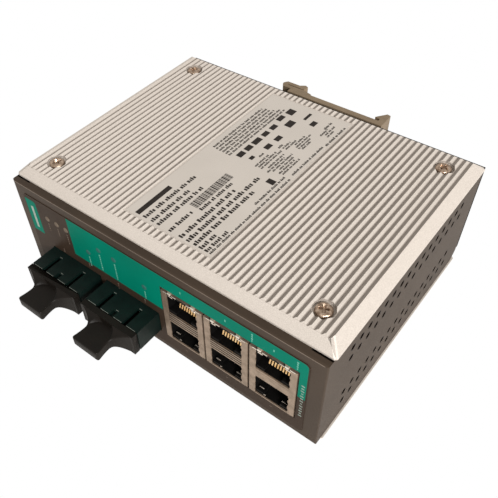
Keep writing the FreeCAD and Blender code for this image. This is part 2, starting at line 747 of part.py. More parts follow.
def fibre_sleeves(index):
    """Alignment sleeves standing in the two bores."""
    tubes = []
    back = FRONT + " - module_proud + bore_depth"
    for side in fibre_places():
        x = "%s + %s" % (module_x(index), side)
        z = "board_top + module_rise + module_height / 2"
        outer = bar("sleeve_outer", x, back, z, "sleeve_radius", "sleeve_length", "-y", 8)
        bore = bar("sleeve_hole", x, back + " - 1", z, "sleeve_bore", "sleeve_length", "-y", 8)
        tubes.append(cut("sleeve", outer, bore))
    label = "fibre_sleeves_%d" % (index + 1)
    keep(label, together(label, tubes))


def dust_plug(index):
    """Duplex dust plug: flange, hollow spigots and a grip waisted on all four sides."""
    made = body("dust_plug_%d" % (index + 1), module_x(index),
                FRONT + " - module_proud - plug_clearance",
                "board_top + module_rise + module_height / 2")
    flange = sketch(made, "XZ_Plane")
    centred(flange, "0", "0", "module_width", "module_height")
    pad(made, flange, "plug_flange + plug_grip_length")
    plan = sketch(made, "XY_Plane")
    grip_cut(plan, "module_width", "plug_bar_width", "plug_waist")
    pocket(made, plan, "2 * module_height", middle=True)
    side = sketch(made, "YZ_Plane")
    saddle_cut(side)
    pocket(made, side, "2 * module_width", middle=True)
    spigots = sketch(made, "XZ_Plane")
    wall = "(module_wall + plug_clearance)"
    for x in fibre_places():
        centred(spigots, x, "0", "fibre_pitch - 2 * " + wall, "module_height - 2 * " + wall)
    pad(made, spigots, "plug_spigot", reverse=True)
    bores(made, "XZ_Plane", "0 - plug_spigot", [(x, "0") for x in fibre_places()],
          "(sleeve_radius + plug_clearance) * 1.04", "plug_spigot", reverse=True)
    keep(made.Name, made)


def waist_loop(made, full, bar, waist, flip):
    """One closed cutter: a concave arc from the flange edge to the bar, closed outside."""
    root = -(size("plug_flange"))
    tip = -(size("plug_flange") + size("plug_grip_length"))
    bar_root = tip + size("plug_bar_length")
    start = Vector(flip * (full / 2 - size("plug_margin")), root, 0)
    low = Vector(flip * waist / 2, bar_root + 1.6, 0)
    stop = Vector(flip * bar / 2, bar_root, 0)
    outside = flip * (full / 2 + 2)
    arc = Part.Arc(start, Vector(flip * (waist / 2 + 0.75), (root + low.y) / 2 - 0.9, 0), low)
    made.addGeometry(arc, False)
    return start, low, stop, outside, tip


def grip_cut(made, full_text, bar_text, waist_text):
    full = size(full_text)
    bar = size(bar_text)
    waist = size(waist_text)
    for flip in (-1, 1):
        start, low, stop, outside, tip = waist_loop(made, full, bar, waist, flip)
        points = [low, stop, Vector(stop.x, tip - 1, 0), Vector(outside, tip - 1, 0),
                  Vector(outside, start.y, 0), start]
        for first, second in zip(points[:-1], points[1:]):
            made.addGeometry(Part.LineSegment(first, second), False)


def saddle_cut(made):
    """Side view: the grip falls from the flange to a flat bar, above and below."""
    full = size("module_height")
    bar = size("plug_bar_height")
    for flip in (-1, 1):
        root = -(size("plug_flange"))
        tip = -(size("plug_flange") + size("plug_grip_length"))
        bar_root = tip + size("plug_bar_length")
        start = Vector(root, flip * (full / 2 - 0.6), 0)
        low = Vector(bar_root + 1.4, flip * (bar / 2 - 0.5), 0)
        made.addGeometry(Part.Arc(start, Vector((root + low.x) / 2 + 1.4,
                                                flip * (bar / 2 + 0.75), 0), low), False)
        points = [low, Vector(bar_root, flip * bar / 2, 0), Vector(tip - 1, flip * bar / 2, 0),
                  Vector(tip - 1, flip * (full / 2 + 2), 0), Vector(root, flip * (full / 2 + 2), 0),
                  start]
        for first, second in zip(points[:-1], points[1:]):
            made.addGeometry(Part.LineSegment(first, second), False)


# ---------------------------------------------------------------- board and its parts

def main_board():
    made = body("main_board", z="board_top - board_thickness")
    face = sketch(made, "XY_Plane")
    edge = "(" + END + " - steel_sheet - board_gap)"
    rectangle(face, "-" + edge, FRONT + " + steel_sheet + board_gap", edge, "board_rear")
    pad(made, face, "board_thickness")
    bores(made, "XY_Plane", "board_thickness", standoff_places(), SCREW_HOLE,
          "2 * board_thickness", 8)
    keep("main_board", made)


def standoff_places():
    front = [(side + "standoff_front_x", "-standoff_front_y") for side in ("-", "")]
    rear = [(side + "standoff_rear_x", "standoff_rear_y") for side in ("-", "")]
    return front + rear


def board_fixings():
    foot = BOTTOM + " + steel_sheet"
    tall = "board_top - board_thickness - (%s)" % foot
    posts = []
    for x, y in standoff_places():
        post = bar("standoff_post", x, y, foot, "standoff_radius", tall, "z", 6)
        hole = bar("standoff_hole", x, y, foot, "screw_shank_radius * 1.09", tall, "z", 8)
        posts.append(cut("standoff", post, hole))
    keep("board_standoffs", together("board_standoffs", posts))
    screws = [pan_screw("board_screw", x, y, "board_top", "4.5") for x, y in standoff_places()]
    keep("board_screws", together("board_screws", screws))


def chip(label, x, y, side, height):
    made = body(label, x, y, "board_top")
    face = sketch(made, "XY_Plane")
    centred(face, "0", "0", side, side)
    pad(made, face, height)
    return made


def board_parts():
    keep("switch_chip", chip("switch_chip", "24", "6", "28", "2.4"))
    keep("processor_chip", chip("processor_chip", "-12", "6", "17", "1.6"))
    blocks = [chip("magnetics_block", "jack_first_x + jack_pitch * %d" % index, "-19", "11", "6")
              for index in range(3)]
    keep("line_transformers", together("line_transformers", blocks))
    cans = []
    for x, y in (("-38", "-4"), ("-38", "6"), ("-27", "14")):
        cans.append(bar("can", x, y, "board_top", "4", "12.5"))
    keep("electrolytic_capacitors", together("electrolytic_capacitors", cans))
    core = chip("transformer_core", "-30", "32", "17", "4")
    coil = bar("transformer_coil", "-30", "32", "board_top + 4", "6.2", "5")
    crown = box("transformer_crown", "-38.5", "23.5", "board_top + 9", "17", "17", "4")
    keep("power_transformer", fuse("power_transformer", [core, coil, crown]))
    relay = box("relay_block", "-12", "24", "board_top", "15", "20", "11")
    keep("alarm_relay", relay)


# ---------------------------------------------------------------- power end

def outer_end():
    return "(0 - " + END + ")"


def console_jack():
    made = body("console_jack_shield", outer_end() + " - 0.4", "console_y", "board_top")
    block = sketch(made, "XY_Plane")
    rectangle(block, "0", "-console_width / 2", "console_depth", "console_width / 2")
    pad(made, block, "console_height")
    wall = "shield_sheet"
    inside = sketch(made, "XY_Plane")
    rectangle(inside, wall, wall + " - console_width / 2", "console_depth + 1",
              "console_width / 2 - " + wall)
    pocket(made, inside, "console_height - " + wall, reverse=True)
    port = sketch(made, "YZ_Plane")
    rectangle(port, "-port_width / 2", "console_port_rise", "port_width / 2",
              "console_port_rise + port_height")
    pocket(made, port, "2 * " + wall, reverse=True)
    keep(made.Name, made)
    gap = "(shield_sheet + insert_clearance)"
    jack_insert("console_jack_insert", "0", "0", "0", "console_width - 2 * " + gap,
                "console_height - " + gap, "console_depth - 1 - " + gap, ("console_port_rise",))
    contact_wires("console_jack_contacts", "0", "0", "0", ("console_port_rise",))
    for name in ("console_jack_insert", "console_jack_contacts"):
        item = doc.getObject(name)
        item.Placement.Rotation = FreeCAD.Rotation(Vector(0, 0, 1), -90)
        item.setExpression("Placement.Base.x", bound(outer_end() + " - 0.4 + " + gap))
        item.setExpression("Placement.Base.y", bound("console_y"))
        item.setExpression("Placement.Base.z", bound("board_top"))


def terminal_block():
    """Pluggable six-way block: header on the board, plug that pulls out along -X."""
    width = "(terminal_ways * terminal_pitch + 2 * terminal_wall)"
    made = body("terminal_header", outer_end() + " + 1.5", "terminal_y", "board_top")
    block = sketch(made, "XY_Plane")
    rectangle(block, "0", "0 - %s / 2" % width, "terminal_depth", width + " / 2")
    pad(made, block, "terminal_height")
    hollow = sketch(made, "YZ_Plane")
    wall = "terminal_wall"
    rectangle(hollow, "0 - %s / 2 + %s" % (width, wall), wall, "%s / 2 - %s" % (width, wall),
              "terminal_height - " + wall)
    pocket(made, hollow, "terminal_depth - 1.5", reverse=True)
    keep(made.Name, made)
    plug = body("terminal_plug", outer_end() + " + 1.5 + terminal_engage", "terminal_y",
                "board_top + terminal_height / 2")
    profile = sketch(plug, "YZ_Plane")
    room = "(%s - 2 * %s - 2 * terminal_clearance)" % (width, wall)
    tall = "(terminal_height - 2 * %s - 2 * terminal_clearance)" % wall
    centred(profile, "0", "0", room, tall)
    pad(plug, profile, "terminal_plug_depth", reverse=True)
    entry = sketch(plug, "YZ_Plane", "0 - terminal_plug_depth")
    for way in range(int(size("terminal_ways"))):
        place = "(%d - (terminal_ways - 1) / 2) * terminal_pitch" % way
        centred(entry, place, "-0.6", "2.9", "2.9")
    pocket(plug, entry, "6", reverse=True)
    wells = [("3.2 - terminal_plug_depth", "(%d - (terminal_ways - 1) / 2) * terminal_pitch" % way)
             for way in range(int(size("terminal_ways")))]
    bores(plug, "XY_Plane", tall + " / 2", wells, "(clamp_screw_radius + 0.1) * 1.09", "2",
          8)
    keep(plug.Name, plug)
    screws = []
    for way in range(int(size("terminal_ways"))):
        place = "terminal_y + (%d - (terminal_ways - 1) / 2) * terminal_pitch" % way
        screw = bar("clamp_screw", outer_end() + " + 1.5 + terminal_engage + 3.2"
                         " - terminal_plug_depth", place,
                         "board_top + terminal_height / 2 + %s / 2 - 2" % tall,
                         "clamp_screw_radius", "1.4", "z", 8)
        screws.append(screw)
    keep("terminal_clamp_screws", together("terminal_clamp_screws", screws))


def option_switch():
    """Four-way slide switch facing the power end."""
    width = "((dip_ways + 0.5) * dip_pitch)"
    made = body("option_switch_body", outer_end() + " + 0.4", "dip_y", "board_top")
    block = sketch(made, "XY_Plane")
    rectangle(block, "0", "0 - %s / 2" % width, "dip_depth", width + " / 2")
    pad(made, block, "dip_height")
    slots = sketch(made, "YZ_Plane")
    for way in range(int(size("dip_ways"))):
        place = "(%d - (dip_ways - 1) / 2) * dip_pitch" % way
        centred(slots, place, "dip_height / 2", "dip_slot_width", "dip_slot")
    pocket(made, slots, "3", reverse=True)
    keep(made.Name, made)
    for way in range(int(size("dip_ways"))):
        place = "dip_y + (%d - (dip_ways - 1) / 2) * dip_pitch" % way
        low = "board_top + dip_height / 2 - dip_slot / 2 + dip_clearance"
        wide = "dip_slot_width - 2 * dip_clearance"
        lever = box("dip_lever_%d" % (way + 1), outer_end() + " - 0.3",
                    place + " - (%s) / 2" % wide, low, "3", wide, "dip_lever")
        keep(lever.Name, lever)


def earth_screw():
    made = pan_screw("earth_screw", outer_end(), "earth_screw_y", "earth_screw_z", "5",
                     (Vector(0, 1, 0), -90))
    keep("earth_screw", made)


# ---------------------------------------------------------------- rail clip

def clip_screw_places():
    return [("rail_centre - 8", "case_height / 2"), ("rail_centre + 11", "case_height / 2 - 14"),
            ("rail_centre + 11", "case_height / 2 + 14")]


def rail_clip():
    """Plate on the rear panel with two fixed hooks for the lower rail edge."""
    base = REAR
    made = body("rail_clip", z="case_height / 2")
    plate = sketch(made, "XY_Plane")
    edge = "(rail_centre + rail_width / 2 + 0.3)"
    rectangle(plate, "0 - clip_left", base, edge + " + clip_sheet", base + " + clip_sheet")
    pad(made, plate, "clip_width", middle=True)
    hook = sketch(made, "XY_Plane")
    top = "(" + base + " + clip_sheet)"
    outline(hook, [(edge, top), (edge, top + " + rail_lip"),
                   (edge + " - hook_bite", top + " + rail_lip + 0.3"),
                   (edge + " + hook_lean - 0.2", top + " + hook_reach"),
                   (edge + " + hook_lean + 1.3", top + " + hook_reach - 0.3"),
                   (edge + " + clip_sheet", top)])
    pad(made, hook, "clip_width", middle=True)
    between = sketch(made, "YZ_Plane", edge + " - hook_bite - 1")
    centred(between, top + " + hook_reach / 2 + 0.01", "0", "hook_reach",
            "clip_width - 2 * hook_width")
    pocket(made, between, "3 * hook_reach", reverse=True)
    bores(made, "XZ_Plane", "0 - " + top,
          [(x, z + " - case_height / 2") for x, z in clip_screw_places()], SCREW_HOLE,
          "2 * clip_sheet", 8, reverse=True)
    keep("rail_clip", made)


def clip_spring():
    """Stiff strip folded back on itself, with an upturned end that presses on the rail."""
    made = body("clip_spring", z="case_height / 2")
    strip = sketch(made, "XY_Plane")
    low = "(" + REAR + " + clip_sheet)"
    rail = "(rail_centre - rail_width / 2)"
    step = "spring_sheet"
    upper = "(" + low + " + spring_sheet + spring_gap)"
    fold = "(0 - spring_fold_x)"
    outline(strip, [(rail + " + 4", low), (rail + " + 4", low + " + 0.5 * " + step),
                    (rail, low + " + " + step), (fold + " + 2.4", low + " + " + step),
                    (fold + " + 2.4", upper), (rail + " - 1.6", upper),
                    (rail + " - 0.6", upper + " + 0.4"),
                    (rail + " + 0.1", upper + " + " + step + " + spring_post - 0.6"),
                    (rail + " - 1.3", upper + " + " + step + " + spring_post"),
                    (rail + " - 2.4", upper + " + " + step + " + 0.7"),
                    (rail + " - 3.4", upper + " + " + step), (fold + " + 1.2", upper + " + " + step),
                    (fold + " + 0.4", upper + " + 0.4 * " + step),
                    (fold, low + " + " + step + " + spring_gap / 2"),
                    (fold + " + 0.4", low + " + 0.6 * " + step), (fold + " + 1.2", low)])
    pad(made, strip, "spring_width", middle=True)
    keep("clip_spring", made)


def clip_screws():
    toward = (Vector(1, 0, 0), -90)
    screws = [pan_screw("clip_screw", x, REAR + " + clip_sheet", z, "4.5", toward)
              for x, z in clip_screw_places()]
    keep("clip_screws", together("clip_screws", screws))


housing_frame()
rear_panel()
heatsink_cover()
plain_cover()
cover_screws()
information_label()
front_overlay()
light_guides()
stacked_jacks()
for number in range(2):
    fibre_module(number)
    fibre_sleeves(number)
    dust_plug(number)
main_board()
board_fixings()
board_parts()
console_jack()
terminal_block()
option_switch()
earth_screw()
rail_clip()
clip_spring()
clip_screws()

doc.recompute()
for item in doc.Objects:
    if "Invalid" in item.State or "Error" in item.State:
        raise RuntimeError("%s is not sound: %s" % (item.Label, item.State))
for label, made in nodes:
    if made.Shape.isNull() or not made.Shape.isValid():
        raise RuntimeError(label + " has no sound shape")
for label, made in nodes:
    made.Shape.exportStep("parts/%s.step" % label)
print(len(nodes), "sub-parts")
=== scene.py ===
import json
import math

import bmesh
import bpy
from mathutils import Matrix, Vector

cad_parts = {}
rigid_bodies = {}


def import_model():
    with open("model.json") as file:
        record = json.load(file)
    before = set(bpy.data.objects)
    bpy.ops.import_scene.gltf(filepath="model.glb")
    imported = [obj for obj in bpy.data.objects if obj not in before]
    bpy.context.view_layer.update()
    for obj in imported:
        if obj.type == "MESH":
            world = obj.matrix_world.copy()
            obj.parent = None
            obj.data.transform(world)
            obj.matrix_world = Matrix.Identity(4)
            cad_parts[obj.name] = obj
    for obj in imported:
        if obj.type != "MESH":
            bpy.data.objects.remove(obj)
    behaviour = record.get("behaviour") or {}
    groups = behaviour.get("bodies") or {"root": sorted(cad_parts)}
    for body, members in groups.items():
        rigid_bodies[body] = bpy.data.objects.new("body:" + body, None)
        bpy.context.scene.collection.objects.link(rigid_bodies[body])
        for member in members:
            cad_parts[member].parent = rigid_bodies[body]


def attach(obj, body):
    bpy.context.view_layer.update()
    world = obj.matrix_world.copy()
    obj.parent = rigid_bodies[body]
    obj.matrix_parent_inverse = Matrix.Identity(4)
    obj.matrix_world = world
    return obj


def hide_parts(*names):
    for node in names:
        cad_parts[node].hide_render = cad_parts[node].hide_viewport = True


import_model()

bl_info = {
    "name": "DIN rail switch dressing",
    "version": (1, 0, 0),
    "blender": (4, 5, 0),
    "location": "View3D > Sidebar > Switch",
    "description": "Surfaces, small parts, light and camera for a DIN rail ethernet switch",
    "category": "Object",
}

# Sizes and places are in millimetres. The ports look along -Y, the vented end along +X, and the
# ribs lie on top.
MM = 0.001
# front of the printed film on the port face, and how far a print stands out of it
FACE = -52.75
INK = 0.02
# middles of the stacked jacks
JACK_X = (13.5, 31.5, 49.5)
# middles of the indicator lights, X and Z: three on the bare film, four on the green field
LIGHTS = ((-51.4, 37.9), (-46.4, 37.9), (-41.4, 37.9), (-24.6, 37.9), (-17.1, 37.9),
          (-30.9, 33.1), (-3.5, 33.1))
WHITE = (1.0, 1.0, 1.0, 1.0)
# an edge of a turned or moulded piece stays crisp from this angle on
CRISP = math.radians(38)


# ------------------------------------------------------------------ surfaces

def colour(code):
    """Linear colour of an sRGB hex code."""
    parts = [int(code[index:index + 2], 16) / 255 for index in (0, 2, 4)]
    return tuple(part / 12.92 if part <= 0.04045 else ((part + 0.055) / 1.055) ** 2.4
                 for part in parts) + (1.0,)


def add(tree, kind, inputs=None, **settings):
    """Add a node with its settings; an input is linked or set. Gives the node's outputs."""
    made = tree.nodes.new(kind)
    for name, value in settings.items():
        setattr(made, name, value)
    for key, value in (inputs or {}).items():
        if isinstance(value, bpy.types.NodeSocket):
            tree.links.new(value, made.inputs[key])
        else:
            made.inputs[key].default_value = value
    return made.outputs


def begin(name):
    """The empty tree of a new material, and the coordinates that its patterns follow."""
    material = bpy.data.materials.new(name)
    material.use_nodes = True
    material.node_tree.nodes.clear()
    return material, material.node_tree, add(material.node_tree, "ShaderNodeTexCoord")


def close(material, tree, inputs):
    """Finish a material with its shader."""
    shader = add(tree, "ShaderNodeBsdfPrincipled", inputs)
    add(tree, "ShaderNodeOutputMaterial", {"Surface": shader[0]})
    return material


def shades(tree, factor, dark, light, low=0.3, high=0.7):
    """A colour that goes from dark to light while the factor goes from low to high."""
    share = add(tree, "ShaderNodeMapRange", {0: factor, 1: low, 2: high})
    return add(tree, "ShaderNodeMix", {0: share[0], 6: dark, 7: light}, data_type="RGBA")[2]


def all_of(tree, tests):
    """One where every test of a value against a limit holds, else nought."""
    holds = 1.0
    for value, operation, limit in tests:
        test = add(tree, "ShaderNodeMath", {0: value, 1: limit}, operation=operation)[0]
        holds = add(tree, "ShaderNodeMath", {0: holds, 1: test}, operation="MULTIPLY")[0]
    return holds


def painted_edge_shade(tree, place):
    """Painted shade: one on the cut edges of the case steel just inside its outer faces, in the
    vent holes and along the rear edge, where the paint is made near black.
    """
    x, y, _ = add(tree, "ShaderNodeSeparateXYZ", {0: place})
    end = add(tree, "ShaderNodeMath", {0: x}, operation="ABSOLUTE")[0]
    flank = add(tree, "ShaderNodeMath", {0: y}, operation="ABSOLUTE")[0]
    ends = all_of(tree, ((end, "LESS_THAN", 66.94 * MM), (end, "GREATER_THAN", 60.0 * MM),
                         (flank, "LESS_THAN", 50.4 * MM)))
    rear = all_of(tree, ((y, "GREATER_THAN", 51.35 * MM), (y, "LESS_THAN", 52.47 * MM)))
    return add(tree, "ShaderNodeMath", {0: ends, 1: rear}, operation="MAXIMUM")[0]


def painted_rib_shade(tree, coordinates):
    """Painted shade: one on the side of each valley that looks along -X, and on its floor, where
    the silver is darkened.
    """
    x, y, z = add(tree, "ShaderNodeSeparateXYZ", {0: coordinates["Object"]})
    facing = add(tree, "ShaderNodeSeparateXYZ", {0: coordinates["Normal"]})
    side = all_of(tree, ((facing[0], "LESS_THAN", -0.3), (facing[2], "GREATER_THAN", 0.3)))
    # the floor's shade grows over the lowest ninth of a millimetre
    depth = add(tree, "ShaderNodeMath", {0: 53.09 * MM, 1: z}, operation="SUBTRACT")[0]
    floor = add(tree, "ShaderNodeMath", {0: depth, 1: 9 / MM}, operation="MULTIPLY",
                use_clamp=True)[0]
    shade = add(tree, "ShaderNodeMath", {0: side, 1: floor}, operation="MAXIMUM")[0]
    across = add(tree, "ShaderNodeMath", {0: x}, operation="ABSOLUTE")[0]
    ribs = all_of(tree, ((across, "LESS_THAN", 63.9 * MM), (y, "GREATER_THAN", -46.7 * MM),
                         (y, "LESS_THAN", 47.1 * MM), (z, "GREATER_THAN", 52.7 * MM)))
    return add(tree, "ShaderNodeMath", {0: shade, 1: ribs}, operation="MULTIPLY")[0]


def silver_paint(settings):
    """Silver paint on aluminium: a metallic flake gives a fine sparkle, and painted shade darkens
    the leeward sides and floors of the valleys.

    The flake is drawn 0.26 mm wide, coarser than the real one, so that it shows."""
    material, tree, coordinates = begin("silver_paint_on_aluminium")
    place = coordinates["Object"]
    flake = add(tree, "ShaderNodeTexNoise", {"Vector": place, "Scale": 3.8 / MM, "Detail": 1.0})[0]
    cloud = add(tree, "ShaderNodeTexNoise", {"Vector": place, "Scale": 0.06 / MM, "Detail": 3.0})[0]
    tint = shades(tree, flake, tuple(settings.cover_dark), tuple(settings.cover_light), 0.25, 0.75)
    haze = add(tree, "ShaderNodeMath", {0: cloud, 1: 0.25}, operation="MULTIPLY")[0]
    tint = add(tree, "ShaderNodeMix", {0: haze, 6: tint, 7: colour("b9b2a9")},
               data_type="RGBA")[2]
    # painted shade: the leeward sides and floors of the rib valleys go darker in colour
    tint = add(tree, "ShaderNodeMix", {0: painted_rib_shade(tree, coordinates), 6: tint,
                                       7: colour("938b83")}, data_type="RGBA")[2]
    return close(material, tree, {
        "Base Color": tint, "Metallic": 0.2, "Specular IOR Level": 0.5,
        "Roughness": add(tree, "ShaderNodeMath", {0: flake, 1: 0.18, 2: 0.42},
                         operation="MULTIPLY_ADD")[0],
        "Normal": add(tree, "ShaderNodeBump", {"Height": flake, "Distance": 0.04 * MM,
                                               "Strength": 0.5})[0]})


def dark_paint(settings):
    """Dark powder paint on steel: orange peel breaks up its shine, and painted shade makes it near
    black and dull on the cut edges in the vent holes and along the rear edge.

    The peel is drawn 0.38 mm wide, about as coarse as the real one."""
    material, tree, coordinates = begin("dark_powder_paint_on_steel")
    place = coordinates["Object"]
    peel = add(tree, "ShaderNodeTexNoise", {"Vector": place, "Scale": 2.6 / MM, "Detail": 2.0})[0]
    cloud = add(tree, "ShaderNodeTexNoise", {"Vector": place, "Scale": 0.045 / MM,
                                             "Detail": 3.0})[0]
    tint = shades(tree, cloud, tuple(settings.case_dark), tuple(settings.case_light))
    # painted shade: near black and without shine on the cut edges in the vent holes and along the
    # rear edge
    edge = painted_edge_shade(tree, place)
    face = add(tree, "ShaderNodeMath", {0: 1.0, 1: edge}, operation="SUBTRACT")[0]
    return close(material, tree, {
        "Base Color": add(tree, "ShaderNodeMix", {0: edge, 6: tint, 7: colour("080605")},
                          data_type="RGBA")[2],
        "Specular IOR Level": add(tree, "ShaderNodeMath", {0: face, 1: 0.28},
                                  operation="MULTIPLY")[0],
        "Specular Tint": (1.0, 0.89, 0.8, 1.0), "Metallic": 0.0,
        "Roughness": add(tree, "ShaderNodeMath", {0: peel, 1: 0.17, 2: 0.45},
                         operation="MULTIPLY_ADD")[0],
        "Normal": add(tree, "ShaderNodeBump", {"Height": peel, "Distance": 0.06 * MM,
                                               "Strength": 0.6})[0]})


def mottled(name, dark, light, cells, rough, metal=0.0, specular=0.5, grain=0.0):
    """Two near shades wandering into each other, a gloss that wanders, and a grain in height.

    There are so many cells of the pattern in a millimetre, and the grain is so high in them.
    Plating and moulding grain is finer on the real thing, and is drawn as coarse as it shows."""
    material, tree, coordinates = begin(name)
    place = coordinates["Object"]
    cloud = add(tree, "ShaderNodeTexNoise", {"Vector": place, "Scale": cells / MM,
                                             "Detail": 3.0})[0]
    gloss = add(tree, "ShaderNodeTexNoise", {"Vector": place, "Scale": 3.1 * cells / MM,
                                             "Detail": 2.0})[0]
    inputs = {
        "Base Color": shades(tree, cloud, colour(dark), colour(light)),
        "Metallic": metal, "Specular IOR Level": specular,
        "Roughness": add(tree, "ShaderNodeMath", {0: gloss, 1: rough[1] - rough[0], 2: rough[0]},
                         operation="MULTIPLY_ADD")[0]}
    if grain:
        fine = add(tree, "ShaderNodeTexNoise", {"Vector": place, "Scale": 9.0 * cells / MM,
                                                "Detail": 2.0})[0]
        inputs["Normal"] = add(tree, "ShaderNodeBump", {"Height": fine, "Distance": grain * MM,
                                                        "Strength": 1.0})[0]
    return close(material, tree, inputs)


# the plainer surfaces by short name: material, dark, light, cells a millimetre, roughness
FINISHES = {
    # painted shade: a dull near black ring round each vent hole
    "vent_shade": dict(name="dark_cut_edge", dark="0c0907", light="120e0b", cells=0.9,
                      rough=(0.6, 0.7), specular=0.1),
    # painted highlight: a paler line along the fold above the port face
    "fold_light": dict(name="thin_paint_on_a_fold", dark="6a5f55", light="786c61", cells=0.9,
                     rough=(0.4, 0.5), specular=0.3),
    # satin film: even and pale, with a soft sheen
    "label": dict(name="satin_label_film", dark="b6b0a8", light="bab4ac", cells=0.09,
                  rough=(0.42, 0.5), grain=0.01),
    # printed ink lies dull on the film: dark, pale green, faded white and grey
    "print": dict(name="dark_print_ink", dark="15100c", light="221b16", cells=0.7,
                  rough=(0.5, 0.65), specular=0.3),
    "pale_print": dict(name="pale_print_ink", dark="4c917f", light="68a495", cells=0.9,
                       rough=(0.5, 0.65), specular=0.2),
    "field_print": dict(name="faded_white_ink", dark="7d8b83", light="93a098", cells=0.9,
                        rough=(0.5, 0.65), specular=0.2),
    "grey_print": dict(name="grey_print_ink", dark="54483f", light="665a50", cells=0.9,
                       rough=(0.5, 0.65), specular=0.2),
    # hard coated film: dark with a weak broad sheen; green where it is printed from behind
    "film": dict(name="dark_polycarbonate_film", dark="2e241c", light="342921", cells=0.055,
                 rough=(0.42, 0.52), specular=0.08, grain=0.01),
    "green": dict(name="green_print_under_film", dark="006452", light="006c59", cells=0.05,
                  rough=(0.42, 0.52), specular=0.03, grain=0.01),
    # unlit light guides: milky grey, and greener under the green field
    "lens": dict(name="smoky_lens", dark="5a4f45", light="645a4e", cells=0.9, rough=(0.5, 0.6),
                 specular=0.1),
    "green_lens": dict(name="smoky_lens_under_green_print", dark="24504a", light="2e5c54",
                       cells=0.9, rough=(0.5, 0.6), specular=0.1),
    # rolled tin plate: warm grey with broad soft streaks of light; a brighter copy is painted
    # highlight on the jack tabs and springs
    "tin": dict(name="tin_plated_sheet", dark="857565", light="a08e7d", cells=0.42,
                rough=(0.34, 0.5), metal=0.7, grain=0.02),
    "bright_tin": dict(name="bright_tin_plate", dark="cfc3b6", light="efe6da", cells=0.9,
                       rough=(0.2, 0.34), metal=0.8),
    # glass filled nylon: black and dull, with a fine tooth; the same black is laid on the jack
    # fronts as painted shade
    "insert": dict(name="black_glass_filled_nylon", dark="050404", light="0a0908", cells=0.6,
                   rough=(0.5, 0.65), specular=0.15, grain=0.02),
    # gold plate on spring wire: warm and bright
    "gold": dict(name="gold_plated_wire", dark="d0a060", light="f6d9aa", cells=0.9,
                 rough=(0.2, 0.34), metal=1.0),
    # moulded housing of the fibre ports: green black satin; a paler copy is painted highlight along
    # its rim
    "receptacle": dict(name="greenish_black_moulding", dark="04100e", light="071714", cells=0.26,
                       rough=(0.4, 0.5), specular=0.2, grain=0.01),
    "pale_rim": dict(name="worn_moulding_edge", dark="646963", light="7b7f78", cells=0.9,
                     rough=(0.4, 0.5)),
    # moulded elastomer: brown black, soft and a little waxy
    "plug": dict(name="dark_moulded_elastomer", dark="0e0b08", light="130f0b", cells=0.24,
                 rough=(0.42, 0.55), specular=0.18, grain=0.03),
    # nickel plate: a brownish grey with bright spots that are painted glints
    "screw": dict(name="worn_nickel_plate", dark="7d6655", light="d2bda8", cells=0.9,
                  rough=(0.2, 0.45), metal=0.9, grain=0.04),
    # passivated zinc: yellowish grey with a dull shine
    "zinc": dict(name="yellowish_zinc_plate", dark="7d6d58", light="96856e", cells=0.12,
                 rough=(0.4, 0.58), metal=0.6, grain=0.02),
    # solder mask: deep green and glossy
    "board": dict(name="green_solder_mask", dark="0b4a22", light="0f5a2b", cells=0.5,
                  rough=(0.3, 0.4), grain=0.01),
    # turned brass: yellow with a clean shine
    "brass": dict(name="turned_brass", dark="a88640", light="c7a45a", cells=0.6,
                  rough=(0.25, 0.4), metal=1.0),
    # moulded epoxy: flat black
    "chip": dict(name="moulded_epoxy_case", dark="151515", light="1f1f1e", cells=0.8,
                 rough=(0.5, 0.65), grain=0.02),
    # drawn aluminium can: pale grey, shiny
    "can": dict(name="aluminium_can", dark="9a9a9c", light="b4b4b6", cells=0.3,
                rough=(0.25, 0.4), metal=0.9),
    # pressed ferrite: dark grey and chalky
    "ferrite": dict(name="grey_ferrite", dark="2a2a2c", light="3a3a3c", cells=0.4,
                    rough=(0.6, 0.75), grain=0.03),
    # moulded polyester case: blue, half glossy
    "relay": dict(name="blue_relay_case", dark="1b3a78", light="234a92", cells=0.15,
                  rough=(0.3, 0.42)),
    # nylon of the terminals: dark green satin
    "terminal": dict(name="green_nylon", dark="0c3f26", light="11502f", cells=0.22,
                     rough=(0.4, 0.55), grain=0.02),
    # mouldings of the option switch: red body, white levers, both satin
    "switch": dict(name="red_moulding", dark="6e1212", light="801818", cells=0.3,
                   rough=(0.4, 0.5), grain=0.01),
    "lever": dict(name="white_moulding", dark="d8d6d0", light="e4e2dc", cells=0.3,
                  rough=(0.4, 0.5), grain=0.01),
    # ground ceramic: white and glossy
    "ceramic": dict(name="white_ceramic", dark="dcd8ce", light="eae6dd", cells=0.3,
                    rough=(0.15, 0.22)),
}


def make_surfaces(settings):
    """Every material of the model by its short name."""
    made = {short: mottled(**finish) for short, finish in FINISHES.items()}
    made["silver"] = silver_paint(settings)
    made["paint"] = dark_paint(settings)
    return made


def numbered(pattern, numbers=(1, 2, 3)):
    """The names of like pieces."""
    return tuple(pattern % number for number in numbers)


